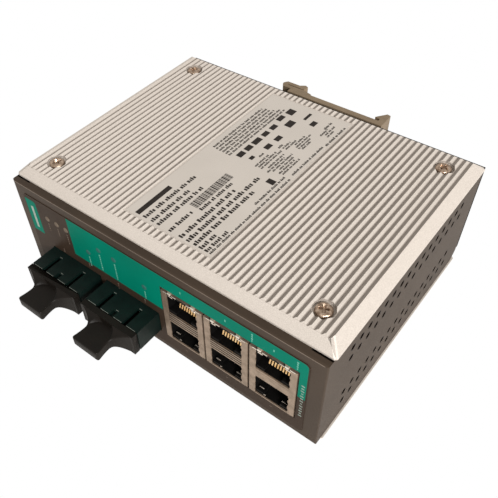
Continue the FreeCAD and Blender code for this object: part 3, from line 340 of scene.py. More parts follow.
NODE_SURFACES = {
    "silver": ("heatsink_cover", "side_cover"),
    "paint": ("housing_frame", "rear_panel"),
    "screw": ("cover_screws", "side_cover_screws", "board_screws", "clip_screws", "earth_screw",
              "terminal_clamp_screws"),
    "label": ("information_label",),
    "film": ("front_overlay",),
    "lens": ("light_guides",),
    "board": ("main_board",),
    "brass": ("board_standoffs",),
    "chip": ("switch_chip", "processor_chip", "line_transformers"),
    "can": ("electrolytic_capacitors",),
    "ferrite": ("power_transformer",),
    "relay": ("alarm_relay",),
    "terminal": ("terminal_header", "terminal_plug"),
    "switch": ("option_switch_body",),
    "lever": numbered("dip_lever_%d", (1, 2, 3, 4)),
    "zinc": ("rail_clip", "clip_spring"),
    "tin": numbered("jack_%d_shield") + ("console_jack_shield",),
    "insert": numbered("jack_%d_insert") + ("console_jack_insert",),
    "gold": numbered("jack_%d_contacts") + ("console_jack_contacts",),
    "receptacle": numbered("fibre_module_%d", (1, 2)),
    "ceramic": numbered("fibre_sleeves_%d", (1, 2)),
    "plug": numbered("dust_plug_%d", (1, 2)),
}


# ------------------------------------------------------------------ mesh helpers

def surface(short):
    """A material made by the surfaces operator."""
    return bpy.data.materials[bpy.context.scene["switch_" + short]]


def piece(name, mesh, short, body="case"):
    """Finish a bmesh as a piece that rides on a body."""
    bmesh.ops.recalc_face_normals(mesh, faces=mesh.faces)
    data = bpy.data.meshes.new(name)
    mesh.to_mesh(data)
    mesh.free()
    made = bpy.data.objects.new(name, data)
    bpy.context.collection.objects.link(made)
    made.data.materials.append(surface(short))
    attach(made, body)
    return made


def linked(verts, kind):
    """The edges or faces of some vertices, each once and in a steady order."""
    return list(dict.fromkeys(item for vert in verts for item in getattr(vert, "link_" + kind)))


def block(mesh, low, high, bevel=0.0):
    """A block between two corners in millimetres, with its edges broken."""
    size = [(b - a) * MM for a, b in zip(low, high)]
    middle = [(a + b) / 2 * MM for a, b in zip(low, high)]
    move = Matrix.Translation(middle) @ Matrix.Diagonal(size + [1.0])
    verts = bmesh.ops.create_cube(mesh, size=1.0, matrix=move)["verts"]
    if bevel:
        bmesh.ops.bevel(mesh, geom=linked(verts, "edges"), offset=bevel * MM, segments=2,
                        profile=0.5, affect="EDGES", material=-1)


def printed(mesh, x0, z0, x1, z1):
    """A print on top of the printed fields of the port face."""
    block(mesh, (x0, FACE - 2 * INK, z0), (x1, FACE - INK, z1))


def strip(mesh, x, width, start, end, thick):
    """A flat wire of one straight run in the Y-Z plane, in millimetres."""
    (y0, z0), (y1, z1) = start, end
    long = math.hypot(y1 - y0, z1 - z0)
    turn = math.atan2(z1 - z0, y1 - y0)
    move = (Matrix.Translation((x * MM, (y0 + y1) / 2 * MM, (z0 + z1) / 2 * MM))
            @ Matrix.Rotation(turn, 4, "X")
            @ Matrix.Diagonal((width * MM, (long + thick * 0.6) * MM, thick * MM, 1.0)))
    bmesh.ops.create_cube(mesh, size=1.0, matrix=move)


def plate(mesh, points, low, high):
    """A flat plate in the X-Z plane through points in millimetres, from y low to y high."""
    verts = [mesh.verts.new((x * MM, high * MM, z * MM)) for x, z in points]
    face = mesh.faces.new(verts)
    out = bmesh.ops.extrude_face_region(mesh, geom=[face])["geom"]
    moved = [item for item in out if isinstance(item, bmesh.types.BMVert)]
    bmesh.ops.translate(mesh, verts=moved, vec=(0, (low - high) * MM, 0))


def quarter(x, z, radius, steps=5):
    """The rounding of an outline's upper right corner at x and z, from its side to its top."""
    angles = [math.radians(90 * step / steps) for step in range(steps + 1)]
    return [(x - radius + radius * math.cos(angle), z - radius + radius * math.sin(angle))
            for angle in angles]


# ------------------------------------------------------------------ operators

class SwitchSettings(bpy.types.PropertyGroup):
    """Colours, sizes of small parts, and the light of the stage"""

    case_dark: bpy.props.FloatVectorProperty(
        name="Case, dark", description="Darker shade of the powder paint", size=4,
        subtype="COLOR", default=colour("30271f"), min=0.0, max=1.0)
    case_light: bpy.props.FloatVectorProperty(
        name="Case, light", description="Lighter shade of the powder paint", size=4,
        subtype="COLOR", default=colour("382e25"), min=0.0, max=1.0)
    cover_dark: bpy.props.FloatVectorProperty(
        name="Covers, dark", description="Shade between the flakes of the silver paint", size=4,
        subtype="COLOR", default=colour("b0a9a1"), min=0.0, max=1.0)
    cover_light: bpy.props.FloatVectorProperty(
        name="Covers, light", description="Shade of the flakes of the silver paint", size=4,
        subtype="COLOR", default=colour("ccc5bd"), min=0.0, max=1.0)
    head_radius: bpy.props.FloatProperty(
        name="Screw head radius", description="Radius of the pan heads", default=2.8 * MM,
        min=2.0 * MM, max=2.9 * MM, unit="LENGTH", precision=5)
    head_height: bpy.props.FloatProperty(
        name="Screw head height", description="Height of the pan heads", default=1.7 * MM,
        min=1.2 * MM, max=2.4 * MM, unit="LENGTH", precision=5)
    thumb_dish: bpy.props.FloatProperty(
        name="Thumb dish radius", description="Radius of the round dish in a dust plug's grip",
        default=5.4 * MM, min=0.0, max=6.0 * MM, unit="LENGTH", precision=5)
    # the vent ring is painted shade that makes each hole read dark and wide
    vent_ring: bpy.props.FloatProperty(
        name="Vent edge radius", description="Outer radius of the dark edge round a vent hole",
        default=1.3 * MM, min=1.0 * MM, max=2.0 * MM, unit="LENGTH", precision=5)
    key_power: bpy.props.FloatProperty(
        name="Key light", description="Power of the low key light in watts", default=32.5, min=0.0)
    key_colour: bpy.props.FloatVectorProperty(
        name="Key colour", description="Colour of the key light", size=3, subtype="COLOR",
        default=(1.0, 0.965, 0.945), min=0.0, max=1.0)
    fill_level: bpy.props.FloatProperty(
        name="Fill level", description="Brightness of the surroundings", default=0.68, min=0.0)
    fill_colour: bpy.props.FloatVectorProperty(
        name="Fill colour", description="Colour of the surroundings", size=4, subtype="COLOR",
        default=(1.0, 0.955, 0.905, 1.0), min=0.0, max=1.0)


class SWITCH_OT_surfaces(bpy.types.Operator):
    """Make the materials and give them to the carried-over nodes"""

    bl_idname = "switch.surfaces"
    bl_label = "Surfaces"

    def execute(self, context):
        settings = context.scene.switch_settings
        for short, material in make_surfaces(settings).items():
            context.scene["switch_" + short] = material.name
        for short, names in NODE_SURFACES.items():
            for name in names:
                slots = bpy.data.objects[name].data.materials
                slots.clear()
                slots.append(surface(short))
        return {"FINISHED"}


class SWITCH_OT_front_print(bpy.types.Operator):
    """Printed fields, legends and lenses of the port face"""

    bl_idname = "switch.front_print"
    bl_label = "Front print"

    # the green field goes round the ports: its outline from the low left to the low right
    field = ((-39.5, 26.9), (4.35, 26.9), (4.35, 39.3), (58.65, 39.3), (58.65, 26.4), (61.3, 26.4))
    field_top = 44.9
    field_corner = 1.5
    # small field at the left end, and the rounding of its corner
    patch = (-62.3, 27.3, -56.6, 43.2)
    patch_corner = 1.2
    # a lens tapers from its foot to its face and stands a little out of the film
    lens_foot = 1.2
    lens_face = 0.85
    lens_deep = 0.25
    lens_out = 0.1
    # marks of the legend under each light, in the order of the lights
    marks = (4, 4, 5, 8, 8, 5, 4)
    # legends above the outer jacks, X and top
    jack_legends = ((41.6, 43.9), (57.7, 43.9))
    # legends round the fibre ports, X and top
    fibre_legends = ((-46.3, 25.5), (-46.5, 22.6), (-32.2, 26.4), (-17.4, 25.6), (-17.5, 22.9),
                     (-4.3, 26.1))

    def execute(self, context):
        mesh = bmesh.new()
        left, right = self.field[0][0], self.field[-1][0]
        corner = quarter(right, self.field_top, self.field_corner)
        plate(mesh, [*self.field, *corner, (left, self.field_top)], FACE - INK, FACE)
        x0, z0, x1, z1 = self.patch
        corner = quarter(x1, z1, self.patch_corner)
        plate(mesh, [(x0, z0), (x1, z0), *corner, (x0, z1)], FACE - INK, FACE)
        piece("printed_green_fields", mesh, "green")
        for name, lights, short in (("light_lenses", LIGHTS[:3], "lens"),
                                    ("green_light_lenses", LIGHTS[3:], "green_lens")):
            mesh = bmesh.new()
            for x, z in lights:
                place = Matrix.Translation((x * MM, (FACE - self.lens_out) * MM, z * MM))
                bmesh.ops.create_cone(mesh, cap_ends=True, segments=20,
                                      radius1=self.lens_foot * MM, radius2=self.lens_face * MM,
                                      depth=self.lens_deep * MM,
                                      matrix=place @ Matrix.Rotation(math.radians(90), 4, "X"))
            piece(name, mesh, short)
        green = bmesh.new()
        grey = bmesh.new()
        for (x, z), letters in zip(LIGHTS, self.marks):
            self.legend(green if x > left else grey, x, z - 2.2, letters)
        for x in JACK_X:
            printed(green, x - 0.2, 41.7, x + 0.2, 42.7)
            printed(grey, x - 0.45, 10.4, x + 0.45, 10.75)
        for x, top in self.jack_legends:
            self.legend(green, x, top, 4)
        for x, top in self.fibre_legends:
            self.legend(grey, x, top, 2)
        piece("green_legends", green, "pale_print")
        piece("film_legends", grey, "grey_print")
        # plain fields: a row of short bars at the right, one long bar at the left
        mesh = bmesh.new()
        self.legend(mesh, 60.2, 33.6, 13, wide=1.2, tall=0.42, gap=1.0)
        printed(mesh, -59.9, 29.6, -58.6, 40.2)
        piece("face_fields", mesh, "field_print")
        return {"FINISHED"}

    def legend(self, mesh, x, top, letters, wide=0.6, tall=0.7, gap=0.35):
        """A greeked run of small marks down the face."""
        for letter in range(letters):
            high = top - letter * (tall + gap)
            half = wide * (0.5, 0.4, 0.5, 0.32)[letter % 4]
            printed(mesh, x - half, high - tall, x + half, high)


# rows of the label: X of the middle of the row, Y from, Y to, letter height
ROWS = (
    (-10.4, -41.7, -15.5, 1.7), (-7.3, -41.7, -22.0, 1.7), (-4.6, -41.7, -18.2, 1.7),
    (0.4, -41.7, -29.5, 1.7), (2.2, -28.0, -10.5, 1.5), (5.1, -41.7, -13.2, 1.8),
    (8.0, -41.7, -3.0, 1.8), (10.8, -41.7, -9.8, 1.8), (13.4, -41.7, -33.0, 1.7),
    (15.6, -41.7, -30.8, 1.5), (17.2, -41.7, 2.4, 1.0), (15.1, -15.2, 2.2, 1.0),
    (16.6, 4.6, 24.6, 1.0), (17.2, 25.6, 39.2, 1.1),
    (-15.6, 1.2, 32.0, 1.0), (-14.1, 0.9, 32.6, 1.0), (-12.6, 0.8, 33.2, 1.0),
    (-11.1, 0.8, 33.8, 1.0), (-9.6, 0.7, 35.4, 1.0), (-8.1, 0.7, 36.4, 1.0),
    (1.4, 6.2, 9.4, 0.9), (3.4, 1.0, 9.2, 0.9), (4.6, 1.4, 12.6, 0.9), (5.8, 1.2, 14.0, 0.9),
    (4.0, 14.5, 17.5, 1.1), (5.4, 15.2, 20.6, 0.9), (6.6, 15.4, 22.4, 0.9),
    (7.6, 3.0, 12.8, 0.9), (8.8, 0.8, 11.4, 0.9), (10.0, 2.4, 14.6, 0.9),
    (11.3, 4.6, 13.2, 0.9), (12.5, 2.6, 12.4, 0.9), (13.7, 3.0, 14.2, 0.9),
    (7.8, 19.6, 26.8, 0.9), (9.0, 18.6, 28.6, 0.9), (10.2, 18.4, 26.2, 0.9),
    (11.3, 19.0, 25.0, 0.9), (12.4, 29.6, 34.8, 0.9), (13.6, 31.0, 37.6, 0.9),
    (14.8, 30.4, 35.4, 0.9), (11.4, 34.0, 39.4, 1.1),
)
# plain bars of the label: X from, Y from, X to, Y to
BARS = (
    (-14.6, -41.7, -12.6, -25.0), (-6.0, 2.0, -3.6, 5.4), (-6.0, 6.6, -3.6, 10.0),
    (-6.0, 11.2, -3.6, 15.6), (-5.9, 17.2, -3.7, 20.6), (-5.9, 22.4, -3.7, 25.8),
    (-7.0, 28.6, -4.8, 32.4), (-6.6, 34.4, -3.4, 38.0), (-1.2, 3.2, 0.4, 5.4),
    (-0.6, 11.4, 1.6, 14.8), (-0.4, 17.6, 1.8, 21.0), (-2.4, 27.4, 0.6, 31.6),
    (1.4, 34.8, 2.6, 39.6), (5.2, 33.0, 7.4, 36.2), (11.2, -3.8, 14.4, -1.4),
)
# letters of one word after another, and how tall one letter after another is
WORDS = (5, 4, 7, 3, 6, 2, 5, 8, 4, 3)
LETTERS = (1.0, 0.72, 0.72, 0.95, 0.72, 0.8, 0.72)


class SWITCH_OT_label_print(bpy.types.Operator):
    """Greeked rows, plain bars and a run of stripes on the information label"""

    bl_idname = "switch.label_print"
    bl_label = "Label print"

    # from the face of the label to the top of the ink
    low = 53.295
    high = 53.325
    # widths of a letter and the gaps beside a letter and a word, as shares of the letter height
    widths = (0.42, 0.5, 0.36)
    letter_gap = 0.16
    word_gap = 0.45
    # run of stripes: X from and to, Y from and to, and widths and gaps that come round again
    stripes = (-2.6, 0.9, -28.0, -8.0)
    stripe_widths = (0.22, 0.4, 0.22, 0.58, 0.3)
    stripe_gaps = (0.26, 0.2, 0.36)

    def execute(self, context):
        mesh = bmesh.new()
        count = 0
        for row, (x, start, end, height) in enumerate(ROWS):
            at = start
            word = row
            while at < end:
                for letter in range(WORDS[word % len(WORDS)]):
                    tall = height * LETTERS[count % len(LETTERS)]
                    wide = height * self.widths[count % len(self.widths)]
                    if at + wide > end:
                        break
                    foot = x + height / 2
                    block(mesh, (foot - tall, at, self.low), (foot, at + wide, self.high))
                    at += wide + height * self.letter_gap
                    count += 1
                at += height * self.word_gap
                word += 1
        for x0, y0, x1, y1 in BARS:
            block(mesh, (x0, y0, self.low), (x1, y1, self.high))
        x0, x1, at, end = self.stripes
        stripe = 0
        while at + (wide := self.stripe_widths[stripe % len(self.stripe_widths)]) < end:
            block(mesh, (x0, at, self.low), (x1, at + wide, self.high))
            at += wide + self.stripe_gaps[stripe % len(self.stripe_gaps)]
            stripe += 1
        piece("label_print", mesh, "print")
        return {"FINISHED"}


class SWITCH_OT_jack_fronts(bpy.types.Operator):
    """Stamped fronts, earthing tabs, springs and contacts of the stacked jacks"""

    bl_idname = "switch.jack_fronts"
    bl_label = "Jack fronts"

    # stamped front: its face, half its width, foot and top, and half the width of its openings
    face = -52.95
    half = 8.62
    foot = 13.32
    top = 38.15
    inner = 6.3
    thick = 0.09
    # hollows in the inner edges of the side strips, Z from and to, and how deep they are
    hollows = ((14.6, 16.2), (18.0, 19.6), (21.4, 22.6), (28.6, 30.2), (32.0, 33.4), (35.2, 36.4))
    hollow = 0.32
    # ridges between the two ports of a jack: Z of the lowest, pitch and width
    ridges = (23.48, 1.2, 0.6)
    # earthing tabs over the top edge, from the middle of the jack
    tab_at = 4.95
    # leaf springs in the lower port: X from and to, Z, and how far behind the face
    springs = ((-5.5, -3.6, 15.7, 1.4), (-5.2, -2.4, 14.2, 0.4), (3.2, 5.1, 15.2, 1.4),
               (3.6, 6.3, 14.1, 0.4))
    # wires of the upper and the lower port: places in Y and Z, width, thickness, pitch, and how
    # far their middle is from the jack's
    upper = ((-47.9, 37.3), (-50.2, 34.6), (-51.0, 32.9), (-51.3, 32.0), (-50.8, 31.5),
             (-45.3, 33.8))
    lower = ((-49.2, 23.2), (-50.2, 20.4), (-42.0, 21.6))
    wires = ((upper, 0.5, 0.28, 1.0, 1.3), (lower, 0.46, 0.26, 1.02, 0.0))

    def execute(self, context):
        for number, x in enumerate(JACK_X, start=1):
            self.front(number, x)
            self.contacts(number, x)
        return {"FINISHED"}

    def front(self, number, x):
        face, inner, foot, top = self.face, self.inner, self.foot, self.top
        mesh = bmesh.new()
        dark = bmesh.new()
        bright = bmesh.new()
        for side in (-1, 1):
            plate(mesh, self.side_strip(x, side), face - self.thick, face)
        block(mesh, (x - inner, face - self.thick, foot), (x + inner, face, foot + 0.5))
        # between the ports: four ridges on a dark ground, but two plain rails on the last jack
        if number < len(JACK_X):
            block(dark, (x - inner, face - 0.12, 23.42), (x + inner, face + 0.02, 27.88))
            start, pitch, wide = self.ridges
            for ridge in range(4):
                low = start + ridge * pitch
                block(mesh, (x - inner, face - 0.2, low), (x + inner, face + 0.05, low + wide),
                      0.05)
        else:
            block(mesh, (x - inner, face - 0.1, 23.5), (x + inner, face + 0.05, 26.7), 0.05)
            block(mesh, (x - inner, face - 0.16, 26.95), (x + inner, face + 0.05, 27.8), 0.04)
        # painted shade: dark strips along the top edge stand in for the shadow under the spring
        # fingers
        block(dark, (x - inner, face - 0.06, top - 0.75), (x + inner, face, top - 0.3))
        block(dark, (x - 3.1, face - 0.08, top - 0.5), (x + 3.1, face, top - 0.05))
        # earthing tabs bulge over the top edge, with a shoulder on each side and a lip below, in a
        # brighter copy of the tin as painted highlight
        for side in (-1, 1):
            middle = x + side * self.tab_at
            block(bright, (middle - 0.7, face - 0.42, 38.0), (middle + 0.7, face + 0.6, 38.9), 0.18)
            for low, high in ((-2.7, -1.0), (1.0, 2.9)):
                block(bright, (middle + low, face - 0.2, 37.85), (middle + high, face, 38.2), 0.05)
            block(bright, (middle - 0.5, face - 0.16, 36.9), (middle + 1.3, face, 37.35), 0.05)
        # leaf springs in the same painted highlight
        for low, high, level, deep in self.springs:
            block(bright, (x + low, face + deep, level), (x + high, face + deep + 0.3, level + 0.2),
                  0.04)
        piece("jack_%d_gaps" % number, dark, "insert")
        piece("jack_%d_tabs" % number, bright, "bright_tin")
        piece("jack_%d_front" % number, mesh, "tin")

    def side_strip(self, x, side, steps=60):
        """Outline of a strip beside the openings, with hollows in its inner edge."""
        edge = []
        for step in range(steps + 1):
            z = self.foot + (self.top - self.foot) * step / steps
            inward = any(low < z < high for low, high in self.hollows)
            edge.append((x + side * (self.inner - 0.15 + self.hollow * inward), z))
        return edge + [(x + side * (self.half - 0.5), self.top),
                       (x + side * self.half, self.top - 0.5),
                       (x + side * self.half, self.foot + 0.9),
                       (x + side * (self.half - 0.9), self.foot)]

    def contacts(self, number, x):
        mesh = bmesh.new()
        for route, wide, thick, pitch, offset in self.wires:
            for wire in range(8):
                at = x + offset + (wire - 3.5) * pitch
                for start, end in zip(route, route[1:]):
                    strip(mesh, at, wide, start, end, thick)
        made = piece("jack_%d_gold" % number, mesh, "gold")
        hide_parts("jack_%d_contacts" % number)


class SWITCH_OT_plug_grips(bpy.types.Operator):
    """Waisted grips with a round thumb dish on the dust plugs"""

    bl_idname = "switch.plug_grips"
    bl_label = "Plug grips"

    # Y of the flange, the end and the narrowest place; Z of the middle
    flange = -66.1
    end = -77.0
    waist = -71.5
    centre = 17.85
    # half the width at the waist, and half the thickness of the grip's flat part
    narrow = 5.6
    slab = 2.1
    dish_at = -70.7
    # rounding of the edges, and squares of the surface along and across
    edge = 0.5
    squares = 72

    def execute(self, context):
        for number in (1, 2):
            self.grip(number, context.scene.switch_settings.thumb_dish / MM)
        return {"FINISHED"}

    def half_width(self, y):
        """Half the width of the grip: the sides curve in to the waist and out to the bar."""
        if y > self.waist:
            part = (y - self.waist) / (self.flange - self.waist)
            return self.narrow + 6.1 * part ** 2.6
        part = (self.waist - y) / (self.waist - self.end)
        turned = max(0.0, self.end + 1.0 - y)
        return self.narrow + 0.7 * part ** 1.6 - (1 - math.sqrt(max(0.0, 1 - turned ** 2)))

    def half_height(self, across, y, half, dish):
        """Half the thickness: a saddle behind the flange, cut by the dish, edges rounded."""
        slope = max(0.0, (y - self.dish_at) / (self.flange - self.dish_at))
        wall = min(1.0, max(0.0, (math.hypot(across, y - self.dish_at) - dish + 0.12) / 0.24))
        tall = self.slab + 2.4 * slope ** 1.8 * wall
        side = max(0.0, (abs(across) - half + self.edge) / self.edge)
        lip = max(0.0, (self.end + self.edge - y) / self.edge)
        fall = min(1.0, math.hypot(side, lip))
        return tall - self.edge * (1 - math.sqrt(1 - fall ** 2))

    def grip(self, number, dish):
        """A plug whose CAD grip is cut off at the flange and made anew from there."""
        name = "dust_plug_%d" % number
        mesh = bmesh.new()
        mesh.from_mesh(bpy.data.objects[name].data)
        bmesh.ops.remove_doubles(mesh, verts=mesh.verts, dist=0.001 * MM)
        ends = [vert.co.x / MM for vert in mesh.verts]
        middle = (min(ends) + max(ends)) / 2
        cut = bmesh.ops.bisect_plane(mesh, geom=mesh.verts[:] + mesh.edges[:] + mesh.faces[:],
                                     dist=0.0001 * MM, plane_co=(0, self.flange * MM, 0),
                                     plane_no=(0, -1, 0), clear_outer=True)["geom_cut"]
        rim = [item for item in cut if isinstance(item, bmesh.types.BMEdge)]
        bmesh.ops.contextual_create(mesh, geom=rim)
        # a square sheet, thickened by an extrusion and then drawn to shape point by point
        old = set(mesh.faces)
        low = bmesh.ops.create_grid(mesh, x_segments=self.squares, y_segments=self.squares,
                                    size=1.0)["verts"]
        raised = bmesh.ops.extrude_face_region(mesh, geom=linked(low, "faces"))["geom"]
        high = [item for item in raised if isinstance(item, bmesh.types.BMVert)]
        start = self.flange + 0.1
        for side, verts in ((1, high), (-1, low)):
            for vert in verts:
                y = start + (self.end - start) * (1 + vert.co.y) / 2
                half = self.half_width(min(y, self.flange))
                across = half * math.sin(math.pi / 2 * vert.co.x)
                tall = self.half_height(across, y, half, dish)
                vert.co = Vector((middle + across, y, self.centre + side * tall)) * MM
        for face in mesh.faces:
            face.smooth = face.smooth or face not in old
        made = piece(name + "_grip", mesh, "plug", name)
        made.data.set_sharp_from_angle(angle=CRISP)
        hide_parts(name)


def islands(mesh):
    """The connected groups of vertices of a mesh, in the order of their first vertices."""
    seen = set()
    groups = []
    for first in mesh.verts:
        if first in seen:
            continue
        seen.add(first)
        group = [first]
        for vert in group:
            for edge in vert.link_edges:
                other = edge.other_vert(vert)
                if other not in seen:
                    seen.add(other)
                    group.append(other)
        groups.append(group)
    return groups


class SWITCH_OT_edge_light_shade_and_mitre(bpy.types.Operator):
    """Painted highlights and pale marks on the fibre rims, rings of painted shade round the vents,
    a painted highlight along the front fold, and the mitred corner of the ribbed cover
    """

    bl_idname = "switch.worn_edges"
    bl_label = "Worn edges"

    # stretches of painted highlight on a receptacle's upper rim, from and to, from its middle
    highlit_stretches = ((-11.6, -7.5), (-5.1, -1.3), (1.2, 5.1), (7.5, 11.6))
    # short marks on top of it: X from its middle and Y from its front
    pale_marks = ((-6.3, 8.1), (0.0, 2.8), (6.3, 8.1))
    # vent holes: Y of the first, pitch, number in a row, and Z of the four rows
    vents_from = -38.1
    vent_pitch = 5.0
    vents = 16
    vent_rows = (12.9, 18.2, 37.2, 42.5)
    # the end wall's face and the bore of a vent hole
    end_face = 66.98
    vent_bore = 0.95
    ring_thick = 0.04
    # painted highlight along the fold above the port face: two corners
    fold = ((-65.8, -52.56, 48.5), (65.8, -52.4, 48.72))
    # ends of the sharp mitre where the two bevels of the cover meet
    mitre = ((63.9, -46.1, 53.6), (67.25, -49.45, 50.25))

    def execute(self, context):
        for number in (1, 2):
            self.rim(number)
        self.corner()
        # rings of painted shade round the vent holes
        mesh = bmesh.new()
        outer = context.scene.switch_settings.vent_ring / MM
        for z in self.vent_rows:
            for hole in range(self.vents):
                self.ring(mesh, self.vents_from + self.vent_pitch * hole, z, outer)
        piece("vent_edges", mesh, "vent_shade")
        # painted highlight along the front fold
        mesh = bmesh.new()
        block(mesh, *self.fold, 0.03)
        piece("front_fold", mesh, "fold_light")
        return {"FINISHED"}

    def rim(self, number):
        """Painted highlights along the upper rim of a fibre receptacle, and short pale marks on its
        top.
        """
        spots = [vert.co / MM
                 for vert in bpy.data.objects["fibre_module_%d" % number].data.vertices]
        middle = (min(spot.x for spot in spots) + max(spot.x for spot in spots)) / 2
        front = min(spot.y for spot in spots)
        top = max(spot.z for spot in spots if spot.y < FACE)
        mesh = bmesh.new()
        for start, end in self.highlit_stretches:
            block(mesh, (middle + start, front - 0.02, top - 0.08),
                  (middle + end, front + 0.1, top + 0.02))
        for at, depth in self.pale_marks:
            block(mesh, (middle + at - 0.2, front + depth, top - 0.1),
                  (middle + at + 1.0, front + depth + 0.18, top + 0.02))
        piece("fibre_rim_%d" % number, mesh, "pale_rim")

    def ring(self, mesh, y, z, outer):
        """A thin flat ring of painted shade on the vented end wall round a vent hole."""
        place = (Matrix.Translation(Vector((self.end_face, y, z)) * MM)
                 @ Matrix.Rotation(math.pi / 2, 4, "Y"))
        edges = []
        for radius in (self.vent_bore, outer):
            circle = bmesh.ops.create_circle(mesh, segments=12, radius=radius * MM, matrix=place)
            edges += linked(circle["verts"], "edges")
        flat = bmesh.ops.bridge_loops(mesh, edges=edges)["faces"]
        raised = bmesh.ops.extrude_face_region(mesh, geom=flat)["geom"]
        verts = [item for item in raised if isinstance(item, bmesh.types.BMVert)]
        bmesh.ops.translate(mesh, verts=verts, vec=(self.ring_thick * MM, 0, 0))

    def corner(self):
        """A wedge that carries the two bevels on to a sharp mitre at the vented front corner."""
        spots = [vert.co / MM for vert in bpy.data.objects["heatsink_cover"].data.vertices]
        # the cover's own points on the two bevels beside that corner
        near = [spot for spot in spots if spot.x > 62.0 and spot.y < -44.5
                and 50.0 < spot.z < 53.59 and spot.x - spot.y > 109.0]
        mesh = bmesh.new()
        for spot in [Vector(end) for end in self.mitre] + near:
            mesh.verts.new(spot * MM)
        bmesh.ops.convex_hull(mesh, input=mesh.verts)
        loose = [vert for vert in mesh.verts if not vert.link_faces]
        bmesh.ops.delete(mesh, geom=loose, context="VERTS")
        piece("cover_corner", mesh, "silver")


class SWITCH_OT_screw_heads(bpy.types.Operator):
    """Round pan heads with a cross recess on the screws"""

    bl_idname = "switch.screw_heads"
    bl_label = "Screw heads"

    # radius of the shank; rounding of the head's edge, how far it drops, and the head's dome
    shank = 1.45
    round_edge = 0.9
    drop = 0.85
    dome = 0.12
    # cross recess: half the width of an arm, its reach from the middle, and its depth
    arm = 0.5
    reach = 1.65
    recess = 0.95
    # rings of the head's top and steps round a screw
    rings = 26
    around = 72

    def execute(self, context):
        settings = context.scene.switch_settings
        self.radius = settings.head_radius / MM
        self.height = settings.head_height / MM
        # the way the heads of each node look, and how far the cross of each is turned, in degrees
        heads = {
            "cover_screws": (Matrix.Identity(4), (67, 20, 24, 71)),
            "side_cover_screws": (Matrix.Rotation(math.pi, 4, "X"), (20, 67, 24, 71)),
            "clip_screws": (Matrix.Rotation(-math.pi / 2, 4, "X"), (24, 20, 67)),
            "earth_screw": (Matrix.Rotation(-math.pi / 2, 4, "Y"), (20,)),
        }
        for node, (turn, crosses) in heads.items():
            source = bmesh.new()
            source.from_mesh(bpy.data.objects[node].data)
            bmesh.ops.remove_doubles(source, verts=source.verts, dist=0.001 * MM)
            back = turn.inverted()
            mesh = bmesh.new()
            for index, group in enumerate(islands(source)):
                local = [back @ vert.co for vert in group]
                low = Vector([min(point[axis] for point in local) for axis in range(3)])
                high = Vector([max(point[axis] for point in local) for axis in range(3)])
                middle = (low + high) / 2
                seat = high.z - self.height * MM
                place = turn @ Matrix.Translation((middle.x, middle.y, seat))
                phase = math.radians(crosses[index])
                self.screw(mesh, place @ Matrix.Rotation(phase, 4, "Z"), (seat - low.z) / MM)
            source.free()
            made = piece(node + "_crossed", mesh, "screw")
            made.data.set_sharp_from_angle(angle=CRISP)
            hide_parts(node)
        return {"FINISHED"}

    def top(self, x, y):
        """Height of the head's top: a low dome with a rounded edge and a cross sunk in it."""
        away = math.hypot(x, y)
        edge = min(1.0, max(0.0, (away - self.radius) / self.round_edge + 1.0))
        tall = self.height - self.dome * (away / self.radius) ** 2
        tall -= self.drop * (1 - math.sqrt(1 - edge ** 2))
        long, wide = max(abs(x), abs(y)), min(abs(x), abs(y))
        inside = min(1.0, max(0.0, (self.arm - wide) / 0.12))
        inside *= min(1.0, max(0.0, (self.reach - long) / 0.5))
        return tall - self.recess * inside

    def screw(self, mesh, place, length):
        """A screw with its seat at the origin of the matrix, head up."""
        before = set(mesh.verts)
        out = [self.radius * math.sin(math.pi / 2 * ring / self.rings)
               for ring in range(self.rings + 1)]
        profile = [(away, self.height) for away in out]
        profile += [(self.radius, 0.0), (self.shank, 0.0), (self.shank, -length), (0.0, -length)]
        line = [mesh.verts.new((away * MM, 0, level * MM)) for away, level in profile]
        edges = [mesh.edges.new(pair) for pair in zip(line, line[1:])]
        bmesh.ops.spin(mesh, geom=line + edges, cent=(0, 0, 0), axis=(0, 0, 1), dvec=(0, 0, 0),
                       angle=2 * math.pi, steps=self.around, use_merge=True, use_duplicate=False)
        made = [vert for vert in mesh.verts if vert not in before]
        bmesh.ops.remove_doubles(mesh, verts=made, dist=0.001 * MM)
        made = [vert for vert in mesh.verts if vert not in before]
        for vert in made:
            if vert.co.z > (self.height - 0.001) * MM:
                vert.co.z = self.top(vert.co.x / MM, vert.co.y / MM) * MM
            for face in vert.link_faces:
                face.smooth = True
        bmesh.ops.transform(mesh, matrix=place, verts=made)


